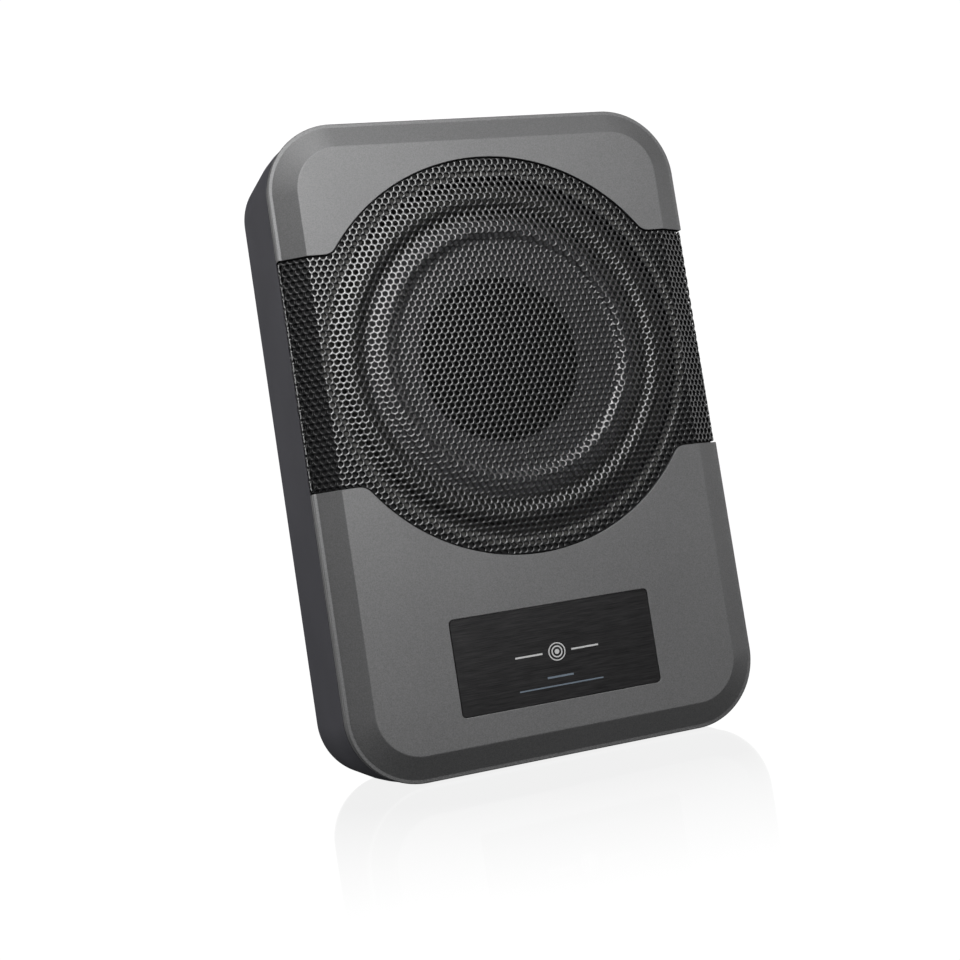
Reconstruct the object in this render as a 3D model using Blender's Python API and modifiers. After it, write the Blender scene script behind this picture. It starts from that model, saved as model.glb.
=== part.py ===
"""Powered car subwoofer: a slim upright enclosure with its driver, amplifier and control panel.

Metres, +Z up. The grille faces -Y, and the origin is under the middle of the footprint.
Depths are measured backwards from the flat front face, so depth 0 is the front.
"""
import math

import bmesh
import bpy
from mathutils import Euler, Matrix, Vector

# ---------------------------------------------------------------- driving dimensions
overall_width = 0.231
overall_height = 0.345
overall_depth = 0.081
corner_radius = 0.038
corner_steps = 6

touch_gap = 0.0003          # between pieces that rest on each other

driver_steps = 24           # sides of the round driver pieces
wide_steps = 36             # sides of the frame, its gasket and the grille's disc

# front cover
face_inset = 0.0141         # flat face to outer edge
chamfer_inset = 0.0020      # rim ledge left outside the chamfer
chamfer_depth = 0.0063
cover_thickness = 0.0050
cover_side_wall = 0.0050
skirt_depth = 0.0117
seam_height = 0.0011        # groove between the cover and the housing

# opening in the cover
driver_from_top = 0.131     # driver axis below the top of the enclosure
opening_radius = 0.1071
band_half_height = 0.0605
opening_fillet = 0.008
driver_hole_radius = 0.0967

# grille
grille_recess = 0.0008
grille_thickness = 0.0010
grille_edge_gap = 0.0013
grille_side_inset = 0.0010
grille_disc_radius = 0.0975
grille_dish_depth = 0.0012  # middle of the grille below its rim
grille_crest_height = 0.0005

# badge
badge_width = 0.112
badge_height = 0.050
badge_radius = 0.002
badge_thickness = 0.0009
badge_setback = 0.0001
badge_from_bottom = 0.0545

# housing
side_wall = 0.0030
back_wall = 0.0040
rib_groove_count = 9
rib_groove_width = 0.003
rib_groove_depth = 0.0015
rib_pitch = 0.014
rib_bottom = 0.022
rib_top = 0.102
gasket_inset = 0.0010
gasket_width = 0.0028

# screws that hold the cover on from behind
post_radius = 0.0045
tunnel_boss_radius = 0.0070
tunnel_radius = 0.0046
pilot_radius = 0.0019
post_end_depth = 0.0217
screw_seat_thickness = 0.004
corner_post_setback = 0.0205
middle_post_from_side = 0.0092
middle_post_below_driver = 0.036
cover_screw_length = 0.0150
cover_screw_head_radius = 0.0040

# tapped holes for brackets in the back
bracket_hole_radius = 0.0021
bracket_boss_radius = 0.0055
bracket_hole_depth = 0.010
bracket_from_side = 0.0255
bracket_from_end = 0.060

# driver, radii from its axis and depths from the front face
frame_radius = 0.1027
frame_sheet = 0.0012
driver_foam = 0.0016        # space that the driver gasket fills
screw_clearance_radius = 0.0018
ledge_inner_radius = 0.0905
ledge_depth = 0.0120
spider_ledge_outer = 0.0607
spider_ledge_inner = 0.0530
spider_ledge_depth = 0.0387
spider_thickness = 0.0006
spider_waves = 3
spider_wave_height = 0.0013
floor_depth = 0.0438
floor_hole_radius = 0.0240
window_count = 6
window_width = 0.038
window_inner_radius = 0.066
window_outer_radius = 0.086
roll_middle_radius = 0.0852
roll_radius = 0.0054
rubber_thickness = 0.0007
cone_edge_radius = 0.0796
cone_lip = 0.0033
paper_thickness = 0.0009
neck_depth = 0.0335
cone_curve = 2.4
cone_steps = 5
cap_radius = 0.0448
cap_rise = 0.0059
former_radius = 0.0194
former_wall = 0.0003
former_front_depth = 0.0305
coil_thickness = 0.0008
coil_length = 0.0140
coil_clearance = 0.0006     # between the coil and the top plate's bore
pole_clearance = 0.0007     # between the pole and the former
plate_radius = 0.0450
plate_thickness = 0.0060
magnet_inner_radius = 0.0260
magnet_radius = 0.0500
magnet_thickness = 0.0140
yoke_radius = 0.0480
yoke_thickness = 0.0060
vent_radius = 0.0060
driver_screw_count = 4
driver_screw_radius = 0.1004
driver_screw_head_radius = 0.0021

# amplifier
board_half_width = 0.082
board_bottom = 0.0130
board_top = 0.1040
board_thickness = 0.0016
board_depth = 0.0700
standoff_radius = 0.0035
heat_bar_bottom_gap = 0.0003
heat_bar_height = 0.0060
heat_bar_half_length = 0.070
heat_bar_front_depth = 0.0460
transistor_positions = (-0.030, 0.030)
capacitor_positions = (-0.050, -0.026)
capacitor_radius = 0.0080
capacitor_length = 0.0260

# control panel in the right-hand side
panel_bottom = 0.042
panel_top = 0.150
panel_front_depth = 0.026
panel_back_depth = 0.070
well_wall = 0.0025
well_length = 0.0165
panel_recess = 0.0098
panel_thickness = 0.0015
panel_screw_inset = 0.0045
panel_boss_size = 0.0095
knob_radius = 0.0055
knob_length = 0.0079
shaft_radius = 0.0030
shaft_length = 0.0088
knob_gap = 0.0004
pot_radius = 0.0080
switch_travel = 0.0040
slider_width = 0.0034
slider_length = 0.0040
slider_reach = 0.0026
jack_radius = 0.0042
jack_bore_radius = 0.0016
jack_flange_radius = 0.0056
jack_flange_length = 0.0060
panel_board_setback = 0.0106
hole_clearance = 0.0004

front_depths = (0.037, 0.059)     # the two columns of controls
knob_height = 0.129
switch_height = 0.110
jack_height = 0.095
signal_row_height = 0.078
power_row_height = 0.060
power_socket_size = (0.0140, 0.0300)      # height and width of each socket
speaker_socket_size = (0.0120, 0.0240)
remote_socket_size = (0.0120, 0.0120)
lamp_height = 0.1435
lamp_radius = 0.0016
lamp_rise = 0.0012
lamp_length = 0.0060
panel_hole_radius = 0.0017
panel_screw_head_radius = 0.0028

# ---------------------------------------------------------------- derived places
front_y = -overall_depth / 2
driver_z = overall_height - driver_from_top
housing_front_depth = skirt_depth + seam_height
side_x = overall_width / 2
panel_face_x = side_x - panel_recess
panel_back_x = panel_face_x - panel_thickness
panel_middle_depth = (panel_front_depth + panel_back_depth) / 2

part_collection = None
cutter_collection = None


# ---------------------------------------------------------------- general helpers
def clear_scene():
    for obj in list(bpy.data.objects):
        bpy.data.objects.remove(obj, do_unlink=True)


def make_collection(name):
    collection = bpy.data.collections.new(name)
    bpy.context.scene.collection.children.link(collection)
    return collection


def make_material(name, color, roughness, metallic=0.0):
    material = bpy.data.materials.new(name)
    material.use_nodes = True
    shader = material.node_tree.nodes["Principled BSDF"]
    shader.inputs["Base Color"].default_value = (*color, 1.0)
    shader.inputs["Roughness"].default_value = roughness
    shader.inputs["Metallic"].default_value = metallic
    material.diffuse_color = (*color, 1.0)
    return material


def add_object(name, data, material=None):
    """A named part when it has a material, a cutter or guide when it has none."""
    obj = bpy.data.objects.new(name, data)
    if material is None:
        cutter_collection.objects.link(obj)
        obj.hide_render = True
        obj.display_type = "WIRE"
    else:
        part_collection.objects.link(obj)
        data.materials.append(material)
    return obj


def from_bmesh(name, bm, material=None):
    bmesh.ops.recalc_face_normals(bm, faces=bm.faces)
    mesh = bpy.data.meshes.new(name)
    bm.to_mesh(mesh)
    bm.free()
    mesh.shade_smooth()
    mesh.set_sharp_from_angle(angle=math.radians(35))
    return add_object(name, mesh, material)


def place(x, z, depth):
    """World position of a point given by its depth behind the front face."""
    return Vector((x, front_y + depth, z))


def add_box(name, low, high, material=None, bevel=0.0):
    """A box between two corners, each given as (x, z, depth)."""
    start = place(*low)
    end = place(*high)
    bm = bmesh.new()
    bmesh.ops.create_cube(bm, size=1.0)
    bmesh.ops.scale(bm, vec=end - start, verts=bm.verts)
    obj = from_bmesh(name, bm, material)
    obj.location = (start + end) / 2
    if bevel > 0:
        rounding = obj.modifiers.new("edges", "BEVEL")
        rounding.width = bevel
        rounding.segments = 2
    return obj


def add_cylinder(name, radius, start, end, material=None, steps=16):
    """A cylinder between two points on its axis."""
    along = end - start
    bm = bmesh.new()
    bmesh.ops.create_cone(bm, cap_ends=True, segments=steps, radius1=radius, radius2=radius,
                          depth=along.length)
    obj = from_bmesh(name, bm, material)
    obj.location = (start + end) / 2
    obj.rotation_euler = along.to_track_quat("Z", "Y").to_euler()
    return obj


def add_turned(name, profile, location, rotation, material=None, steps=40, closed=True):
    """A profile of (radius, height) spun about its own Z, outer side listed top to bottom."""
    bm = bmesh.new()
    points = [bm.verts.new((radius, 0.0, height)) for radius, height in profile]
    for first, second in zip(points, points[1:]):
        bm.edges.new((first, second))
    if closed:
        bm.edges.new((points[-1], points[0]))
    mesh = bpy.data.meshes.new(name)
    bm.to_mesh(mesh)
    bm.free()
    obj = add_object(name, mesh, material)
    obj.location = location
    obj.rotation_euler = rotation
    spin = obj.modifiers.new("spin", "SCREW")
    spin.steps = steps
    spin.render_steps = steps
    spin.use_merge_vertices = True
    spin.merge_threshold = 0.00001
    spin.use_smooth_shade = True
    return obj


def driver_turned(name, profile, material=None, steps=driver_steps, closed=True):
    """A turned driver piece. The profile is (radius, depth), outer side front to back."""
    heights = [(radius, -depth) for radius, depth in profile]
    return add_turned(name, heights, place(0, driver_z, 0), Euler((math.radians(90), 0, 0)),
                      material, steps, closed)


def panel_turned(name, profile, z, depth, material=None, steps=16, closed=True):
    """A turned piece on the control panel. The profile is (radius, distance out from the face)."""
    location = place(panel_face_x, z, depth)
    return add_turned(name, profile, location, Euler((0, math.radians(90), 0)),
                      material, steps, closed)


def boolean(obj, tool, operation="DIFFERENCE"):
    modifier = obj.modifiers.new(tool.name, "BOOLEAN")
    modifier.operation = operation
    modifier.object = tool
    modifier.solver = "EXACT"
    return obj


def wire(name, points, radius, material):
    """A round lead through the given points, each (x, z, depth)."""
    curve = bpy.data.curves.new(name + "_path", "CURVE")
    curve.dimensions = "3D"
    curve.bevel_depth = radius
    curve.bevel_resolution = 2
    curve.use_fill_caps = True
    spline = curve.splines.new("POLY")
    spline.points.add(len(points) - 1)
    for target, point in zip(spline.points, points):
        target.co = (*place(*point), 1.0)
    return add_object(name, curve, material)


# ---------------------------------------------------------------- outlines and lofts
def rounded_outline(width, height, radius, middle_z, steps=corner_steps):
    """Points (x, z) of a rectangle with round corners, anticlockwise."""
    points = []
    corners = ((1, 1, 0), (-1, 1, 90), (-1, -1, 180), (1, -1, 270))
    for side, end, start_angle in corners:
        x = side * (width / 2 - radius)
        z = middle_z + end * (height / 2 - radius)
        for step in range(steps + 1):
            angle = math.radians(start_angle + 90 * step / steps)
            points.append((x + radius * math.cos(angle), z + radius * math.sin(angle)))
    return points


def enclosure_outline(inset):
    return rounded_outline(overall_width - 2 * inset, overall_height - 2 * inset,
                           corner_radius - inset, overall_height / 2)


def opening_outline(shrink, half_width, arc_steps=18, fillet_steps=3):
    """Circle joined to a full-width band, with rounded junctions, anticlockwise."""
    radius = opening_radius - shrink
    half_height = band_half_height - shrink
    fillet = opening_fillet + shrink
    reach = radius + fillet
    fillet_z = half_height + fillet
    fillet_x = math.sqrt(reach ** 2 - fillet_z ** 2)
    junction = math.atan2(fillet_z, fillet_x)
    quarter = [(half_width, 0.0), (half_width, half_height)]
    for step in range(fillet_steps + 1):
        angle = -math.pi / 2 - (math.pi / 2 - junction) * step / fillet_steps
        quarter.append((fillet_x + fillet * math.cos(angle), fillet_z + fillet * math.sin(angle)))
    half_arc = arc_steps // 2
    for step in range(1, half_arc + 1):
        angle = junction + (math.pi / 2 - junction) * step / half_arc
        quarter.append((radius * math.cos(angle), radius * math.sin(angle)))
    upper = quarter + [(-x, z) for x, z in reversed(quarter[:-1])]
    whole = upper + [(-x, -z) for x, z in upper[1:-1]]
    return [(x, driver_z + z) for x, z in whole]


def loft(name, sections, material=None):
    """A solid through outlines with the same number of points, as (depth, outline)."""
    bm = bmesh.new()
    rings = [[bm.verts.new(place(x, z, depth)) for x, z in outline] for depth, outline in sections]
    for front, back in zip(rings, rings[1:]):
        count = len(front)
        for index in range(count):
            after = (index + 1) % count
            bm.faces.new((front[index], front[after], back[after], back[index]))
    bm.faces.new(rings[0])
    bm.faces.new(rings[-1])
    return from_bmesh(name, bm, material)


def skin_sections(offset, side_inset, end_depth, widest_front=overall_width):
    """Sections of the cover's front, moved inwards by an offset, with its side at side_inset.

    The front section is inset by widest_front at most.
    """
    run = face_inset - chamfer_inset
    length = math.hypot(run, chamfer_depth)
    normal_inset = chamfer_depth / length
    normal_depth = run / length
    line_inset = face_inset + offset * normal_inset
    line_depth = offset * normal_depth
    edge_shift = (offset - line_depth) / normal_inset * normal_depth
    side_depth = line_depth + (line_inset - side_inset) * chamfer_depth / run
    return [
        (offset, enclosure_outline(min(line_inset - edge_shift, widest_front))),
        (side_depth, enclosure_outline(side_inset)),
        (end_depth, enclosure_outline(side_inset)),
    ]


# ---------------------------------------------------------------- screw places
def cover_post_places():
    corner_x = side_x - corner_radius + corner_post_setback
    corner_z = corner_radius - corner_post_setback
    middle_x = side_x - middle_post_from_side
    middle_z = driver_z - middle_post_below_driver
    places = []
    for side in (-1, 1):
        places.append((side * corner_x, corner_z))
        places.append((side * middle_x, middle_z))
        places.append((side * corner_x, overall_height - corner_z))
    return places


def bracket_places():
    x = side_x - bracket_from_side
    return [(side * x, z) for side in (-1, 1) for z in (bracket_from_end, overall_height - bracket_from_end)]


def standoff_places():
    margin = 0.006
    x = board_half_width - margin
    return [(side * x, z) for side in (-1, 1) for z in (board_bottom + margin, board_top - margin)]


def panel_screw_places():
    return [(z, depth)
            for z in (panel_bottom + panel_screw_inset, panel_top - panel_screw_inset)
            for depth in (panel_front_depth + panel_screw_inset, panel_back_depth - panel_screw_inset)]


def driver_screw_places():
    """Angles of the screws round the driver, off the pattern of the frame's windows."""
    return [math.radians(45 + 360 * index / driver_screw_count) for index in range(driver_screw_count)]


# ---------------------------------------------------------------- enclosure
def make_front_cover(material):
    rim_depth = chamfer_depth + 0.0001
    cover = loft("front_cover", [
        (0.0, enclosure_outline(face_inset)),
        (chamfer_depth, enclosure_outline(chamfer_inset)),
        (rim_depth, enclosure_outline(0.0)),
        (skirt_depth, enclosure_outline(0.0)),
    ], material)
    frame_inset = side_x - frame_radius - hole_clearance
    boolean(cover, loft("cut_cover_cavity",
                        skin_sections(cover_thickness, cover_side_wall, skirt_depth + 0.002,
                                      frame_inset)))
    for index, (x, z) in enumerate(cover_post_places(), 1):
        boolean(cover, add_cylinder(f"guide_post_{index}", post_radius,
                                    place(x, z, cover_thickness - 0.001),
                                    place(x, z, post_end_depth)), "UNION")

    pocket = loft("cut_grille_pocket", [
        (-0.005, opening_outline(0.0, side_x + 0.005)),
        (skirt_depth + 0.003, opening_outline(0.0, side_x + 0.005)),
    ])
    seat_offset = grille_recess + grille_thickness + touch_gap
    seat_inset = grille_side_inset + grille_thickness + touch_gap
    boolean(pocket, loft("guide_grille_seat",
                         skin_sections(seat_offset, seat_inset, skirt_depth + 0.006)))
    boolean(cover, pocket)

    boolean(cover, add_cylinder("cut_driver_hole", driver_hole_radius,
                                place(0, driver_z, -0.005), place(0, driver_z, 0.010), steps=wide_steps))
    badge_floor = badge_setback + badge_thickness + touch_gap
    boolean(cover, badge_block("cut_badge_pocket", -0.002, badge_floor, touch_gap))

    for index, (x, z) in enumerate(cover_post_places(), 1):
        boolean(cover, add_cylinder(f"cut_pilot_{index}", pilot_radius,
                                    place(x, z, cover_thickness + 0.003),
                                    place(x, z, post_end_depth + 0.001), steps=10))
    for index, angle in enumerate(driver_screw_places(), 1):
        x = driver_screw_radius * math.cos(angle)
        z = driver_z + driver_screw_radius * math.sin(angle)
        boolean(cover, add_cylinder(f"cut_driver_pilot_{index}", pilot_radius,
                                    place(x, z, 0.0035), place(x, z, cover_thickness + 0.001),
                                    steps=12))
    return cover


def badge_block(name, start_depth, end_depth, growth, material=None):
    outline = rounded_outline(badge_width + 2 * growth, badge_height + 2 * growth,
                              badge_radius + growth, badge_from_bottom, steps=3)
    return loft(name, [(start_depth, outline), (end_depth, outline)], material)


def make_badge_plate(material):
    return badge_block("badge_plate", badge_setback, badge_setback + badge_thickness, 0.0, material)


def grille_relief(depth_shift):
    """Pressed rings of the grille as (radius, depth), from the rim to the middle."""
    rim = grille_recess + depth_shift
    crest = rim - grille_crest_height
    valley = rim + grille_crest_height / 2
    dish = rim + grille_dish_depth
    return [
        (grille_disc_radius - 0.0035, rim),
        (0.0850, crest),
        (0.0780, valley),
        (0.0675, crest),
        (0.0655, crest + 0.0003),
        (0.0625, dish - 0.0003),
        (0.0605, dish),
    ]


def make_grille(material):
    end_depth = skirt_depth - 0.0003
    reach = side_x + 0.005
    grille = loft("grille", skin_sections(grille_recess, grille_side_inset, end_depth), material)
    inner_offset = grille_recess + grille_thickness
    inner_inset = grille_side_inset + grille_thickness
    boolean(grille, loft("cut_grille_inside",
                         skin_sections(inner_offset, inner_inset, end_depth + 0.002)))
    prism = loft("guide_grille_outline", [
        (-0.005, opening_outline(grille_edge_gap, reach)),
        (end_depth + 0.001, opening_outline(grille_edge_gap, reach)),
    ])
    boolean(grille, prism, "INTERSECT")
    boolean(grille, add_cylinder("cut_grille_middle", grille_disc_radius - 0.0005,
                                 place(0, driver_z, -0.005), place(0, driver_z, 0.008),
                                 steps=wide_steps))
    rim_front = grille_recess + 0.0001
    rim_back = grille_recess + grille_thickness - 0.0001
    front = grille_relief(0.0)
    back = grille_relief(grille_thickness)
    profile = [(0.0, front[-1][1])] + front[::-1] + [(grille_disc_radius, rim_front)]
    profile += [(grille_disc_radius, rim_back)] + back + [(0.0, back[-1][1])]
    disc = driver_turned("guide_grille_disc", profile, steps=wide_steps, closed=False)
    boolean(grille, disc, "UNION")
    return grille


def make_cover_gasket(material):
    front = skirt_depth + touch_gap
    back = housing_front_depth - touch_gap
    gasket = loft("cover_gasket", [
        (front, enclosure_outline(gasket_inset)),
        (back, enclosure_outline(gasket_inset)),
    ], material)
    inner = enclosure_outline(gasket_inset + gasket_width)
    return boolean(gasket, loft("cut_gasket_inside", [(front - 0.002, inner), (back + 0.002, inner)]))


def cut_ribs(housing):
    half = (rib_groove_count - 1) / 2
    for index in range(rib_groove_count):
        x = (index - half) * rib_pitch
        boolean(housing, add_box(f"cut_rib_{index + 1}",
                                 (x - rib_groove_width / 2, rib_bottom,
                                  overall_depth - rib_groove_depth),
                                 (x + rib_groove_width / 2, rib_top, overall_depth + 0.002)))


def add_panel_well(housing):
    """A rectangular well in the right-hand wall that the control panel sits in."""
    inner_x = side_x - well_length
    low_z = panel_bottom
    high_z = panel_top
    boolean(housing, add_box("guide_well",
                             (inner_x, low_z - well_wall, panel_front_depth - well_wall),
                             (side_x - side_wall / 2, high_z + well_wall,
                              panel_back_depth + well_wall)), "UNION")
    boss_back_x = panel_back_x - touch_gap
    boolean(housing, add_box("cut_well_mouth", (boss_back_x, low_z, panel_front_depth),
                             (side_x + 0.005, high_z, panel_back_depth)))
    size = panel_boss_size
    boolean(housing, add_box("cut_well_across",
                             (inner_x - 0.002, low_z + size, panel_front_depth),
                             (side_x - 0.005, high_z - size, panel_back_depth)))
    boolean(housing, add_box("cut_well_along",
                             (inner_x - 0.002, low_z, panel_front_depth + size),
                             (side_x - 0.005, high_z, panel_back_depth - size)))
    for index, (z, depth) in enumerate(panel_screw_places(), 1):
        boolean(housing, add_cylinder(f"cut_panel_tap_{index}", 0.0016,
                                      place(inner_x - 0.001, z, depth),
                                      place(boss_back_x + 0.001, z, depth), steps=12))


def make_housing(material):
    inner_depth = overall_depth - back_wall
    housing = loft("housing", [
        (housing_front_depth, enclosure_outline(0.0)),
        (overall_depth - 0.0012, enclosure_outline(0.0)),
        (overall_depth, enclosure_outline(0.0012)),
    ], material)
    cavity = enclosure_outline(side_wall)
    boolean(housing, loft("cut_housing_cavity", [(housing_front_depth - 0.002, cavity),
                                                 (inner_depth, cavity)]))
    seat_depth = post_end_depth + touch_gap
    for index, (x, z) in enumerate(cover_post_places(), 1):
        boolean(housing, add_cylinder(f"guide_tunnel_{index}", tunnel_boss_radius,
                                      place(x, z, seat_depth),
                                      place(x, z, inner_depth + 0.001)), "UNION")
        boolean(housing, add_cylinder(f"cut_tunnel_{index}", tunnel_radius,
                                      place(x, z, seat_depth + screw_seat_thickness),
                                      place(x, z, overall_depth + 0.002)))
        boolean(housing, add_cylinder(f"cut_seat_{index}", pilot_radius + touch_gap,
                                      place(x, z, seat_depth - 0.002),
                                      place(x, z, seat_depth + screw_seat_thickness + 0.001),
                                      steps=10))
    for index, (x, z) in enumerate(standoff_places(), 1):
        boolean(housing, add_cylinder(f"guide_standoff_{index}", standoff_radius,
                                      place(x, z, board_depth + board_thickness + touch_gap),
                                      place(x, z, inner_depth + 0.001), steps=10), "UNION")
    for index, (x, z) in enumerate(bracket_places(), 1):
        boolean(housing, add_cylinder(f"guide_bracket_boss_{index}", bracket_boss_radius,
                                      place(x, z, overall_depth - bracket_hole_depth - 0.002),
                                      place(x, z, inner_depth + 0.001), steps=12), "UNION")
        boolean(housing, add_cylinder(f"cut_bracket_hole_{index}", bracket_hole_radius,
                                      place(x, z, overall_depth - bracket_hole_depth),
                                      place(x, z, overall_depth + 0.002), steps=10))
    add_panel_well(housing)
    cut_ribs(housing)
    return housing


def make_screw(name, head_radius, head_height, shank_radius, shank_length, location, rotation,
               material):
    """A pan-head screw: its head sits behind z = 0 and its shank runs to +z."""
    profile = [
        (0.0, shank_length),
        (shank_radius * 0.6, shank_length),
        (shank_radius, shank_length - shank_radius),
        (shank_radius, 0.0),
        (head_radius, 0.0),
        (head_radius, -head_height * 0.6),
        (head_radius * 0.7, -head_height),
        (0.0, -head_height),
    ]
    return add_turned(name, profile, location, rotation, material, steps=8, closed=False)


def make_cover_screws(material):
    rotation = Euler((math.radians(90), 0, 0))
    head_depth = post_end_depth + 2 * touch_gap + screw_seat_thickness
    for index, (x, z) in enumerate(cover_post_places(), 1):
        make_screw(f"cover_screw_{index}", cover_screw_head_radius, 0.0027, 0.0016,
                   cover_screw_length, place(x, z, head_depth), rotation, material)


# ---------------------------------------------------------------- driver
def frame_wall_depth(radius):
    """Depth of the frame's sloping inner wall at a radius."""
    share = (ledge_inner_radius - radius) / (ledge_inner_radius - spider_ledge_outer)
    return ledge_depth + share * (spider_ledge_depth - ledge_depth)


def make_driver_frame(material):
    flange_depth = cover_thickness + driver_foam
    sheet = frame_sheet
    step_radius = driver_hole_radius + 0.0001
    frame = driver_turned("driver_frame", [
        (frame_radius, flange_depth),
        (frame_radius, flange_depth + sheet),
        (step_radius + sheet, flange_depth + sheet),
        (step_radius + sheet, ledge_depth + sheet),
        (ledge_inner_radius + sheet / 2, ledge_depth + sheet),
        (spider_ledge_outer + sheet / 2, spider_ledge_depth + sheet),
        (spider_ledge_inner + sheet, spider_ledge_depth + sheet),
        (spider_ledge_inner + sheet, floor_depth + sheet),
        (floor_hole_radius, floor_depth + sheet),
        (floor_hole_radius, floor_depth),
        (spider_ledge_inner, floor_depth),
        (spider_ledge_inner, spider_ledge_depth),
        (spider_ledge_outer, spider_ledge_depth),
        (ledge_inner_radius, ledge_depth),
        (step_radius, ledge_depth),
        (step_radius, flange_depth),
    ], material, steps=wide_steps)
    for index in range(window_count):
        angle = math.radians(360 * (index + 0.5) / window_count)
        middle = (window_inner_radius + window_outer_radius) / 2
        window = add_box(f"cut_window_{index + 1}",
                         (-window_width / 2, window_inner_radius - middle,
                          frame_wall_depth(window_outer_radius) - 0.006),
                         (window_width / 2, window_outer_radius - middle,
                          frame_wall_depth(window_inner_radius) + 0.006))
        spin = Matrix.Rotation(angle, 4, "Y")
        reach = Matrix.Translation(place(0, driver_z, window.location.y - front_y))
        window.matrix_world = reach @ spin @ Matrix.Translation((0, 0, middle))
    for index in range(window_count):
        boolean(frame, bpy.data.objects[f"cut_window_{index + 1}"])
    for index, angle in enumerate(driver_screw_places(), 1):
        x = driver_screw_radius * math.cos(angle)
        z = driver_z + driver_screw_radius * math.sin(angle)
        boolean(frame, add_cylinder(f"cut_frame_hole_{index}", screw_clearance_radius,
                                    place(x, z, flange_depth - 0.002),
                                    place(x, z, flange_depth + sheet + 0.002), steps=12))
    return frame


def make_driver_gasket(material):
    front = cover_thickness + touch_gap
    back = cover_thickness + driver_foam - touch_gap
    inner = driver_hole_radius + 0.0003
    outer = frame_radius - 0.0002
    gasket = driver_turned("driver_gasket", [(outer, front), (outer, back), (inner, back), (inner, front)],
                           material, steps=wide_steps)
    for index, angle in enumerate(driver_screw_places(), 1):
        x = driver_screw_radius * math.cos(angle)
        z = driver_z + driver_screw_radius * math.sin(angle)
        boolean(gasket, add_cylinder(f"cut_gasket_hole_{index}", screw_clearance_radius,
                                     place(x, z, front - 0.002), place(x, z, back + 0.002), steps=12))
    return gasket


def make_driver_screws(material):
    rotation = Euler((math.radians(90), 0, 0))
    head_depth = cover_thickness + driver_foam + frame_sheet + touch_gap
    for index, angle in enumerate(driver_screw_places(), 1):
        x = driver_screw_radius * math.cos(angle)
        z = driver_z + driver_screw_radius * math.sin(angle)
        make_screw(f"driver_screw_{index}", driver_screw_head_radius, 0.0015, 0.0015, 0.0044,
                   place(x, z, head_depth), rotation, material)


def roll_arc(radius, depth, steps=5, forward=True):
    """Half circle of the surround's roll, bulging to the front, as (radius, depth)."""
    points = []
    for step in range(steps + 1):
        angle = math.pi * step / steps
        points.append((roll_middle_radius + radius * math.cos(angle), depth - radius * math.sin(angle)))
    return points if forward else points[::-1]


def make_surround(material):
    outer = driver_hole_radius - 0.0007
    inner = cone_edge_radius - cone_lip
    back = ledge_depth - touch_gap
    front = back - rubber_thickness
    profile = [(outer, front), (outer, back)]
    profile += roll_arc(roll_radius - rubber_thickness / 2, back)
    profile += [(inner, back), (inner, front)]
    profile += roll_arc(roll_radius + rubber_thickness / 2, front, forward=False)
    return driver_turned("surround", profile, material)


def cone_line():
    """Front surface of the cone from its lip to its neck, as (radius, depth)."""
    neck = former_radius + former_wall + touch_gap
    points = [(cone_edge_radius, ledge_depth), (cone_edge_radius - cone_lip, ledge_depth)]
    start = cone_edge_radius - cone_lip
    for step in range(1, cone_steps + 1):
        share = step / cone_steps
        radius = start + (neck - start) * share
        points.append((radius, ledge_depth + (neck_depth - ledge_depth) * share ** cone_curve))
    return points


def cone_front_depth(radius):
    line = cone_line()
    for (outer, outer_depth), (inner, inner_depth) in zip(line, line[1:]):
        if inner <= radius <= outer:
            share = (outer - radius) / (outer - inner)
            return outer_depth + share * (inner_depth - outer_depth)
    return line[-1][1]


def make_cone(material):
    line = cone_line()
    back = [(radius, depth + paper_thickness) for radius, depth in line]
    return driver_turned("cone", [line[0]] + back + line[:0:-1], material)


def make_dust_cap(material):
    rim_depth = cone_front_depth(cap_radius) - touch_gap - paper_thickness
    steps = 5
    front = []
    for step in range(steps + 1):
        share = step / steps
        front.append((cap_radius * share, rim_depth - cap_rise * (1 - share ** 2)))
    back = [(radius * 0.985, depth + paper_thickness * 0.9) for radius, depth in front]
    return driver_turned("dust_cap", front + back[::-1], material, closed=False)


def make_motor(steel, ferrite, former_material, copper):
    former_outer = former_radius + former_wall
    plate_front = floor_depth + frame_sheet + touch_gap
    plate_back = plate_front + plate_thickness
    coil_middle = (plate_front + plate_back) / 2
    coil_front = coil_middle - coil_length / 2
    coil_back = coil_middle + coil_length / 2
    coil_inner = former_outer + touch_gap
    driver_turned("voice_coil_former", ring(former_radius, former_outer, former_front_depth,
                                            coil_back + 0.0015),
                  former_material)
    driver_turned("voice_coil", ring(coil_inner, coil_inner + coil_thickness, coil_front, coil_back),
                  copper)
    plate_bore_radius = coil_inner + coil_thickness + coil_clearance
    driver_turned("top_plate", ring(plate_bore_radius, plate_radius, plate_front, plate_back), steel)
    magnet_front = plate_back + touch_gap
    magnet_back = magnet_front + magnet_thickness
    driver_turned("magnet", ring(magnet_inner_radius, magnet_radius, magnet_front, magnet_back), ferrite)
    yoke_front = magnet_back + touch_gap
    yoke_back = yoke_front + yoke_thickness
    pole_radius = former_radius - pole_clearance
    driver_turned("yoke", [
        (pole_radius, plate_front),
        (pole_radius, yoke_front),
        (yoke_radius, yoke_front),
        (yoke_radius, yoke_back - 0.0015),
        (yoke_radius - 0.0015, yoke_back),
        (vent_radius, yoke_back),
        (vent_radius, plate_front),
    ], steel)


def ring(inner, outer, front, back):
    return [(outer, front), (outer, back), (inner, back), (inner, front)]


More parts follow.
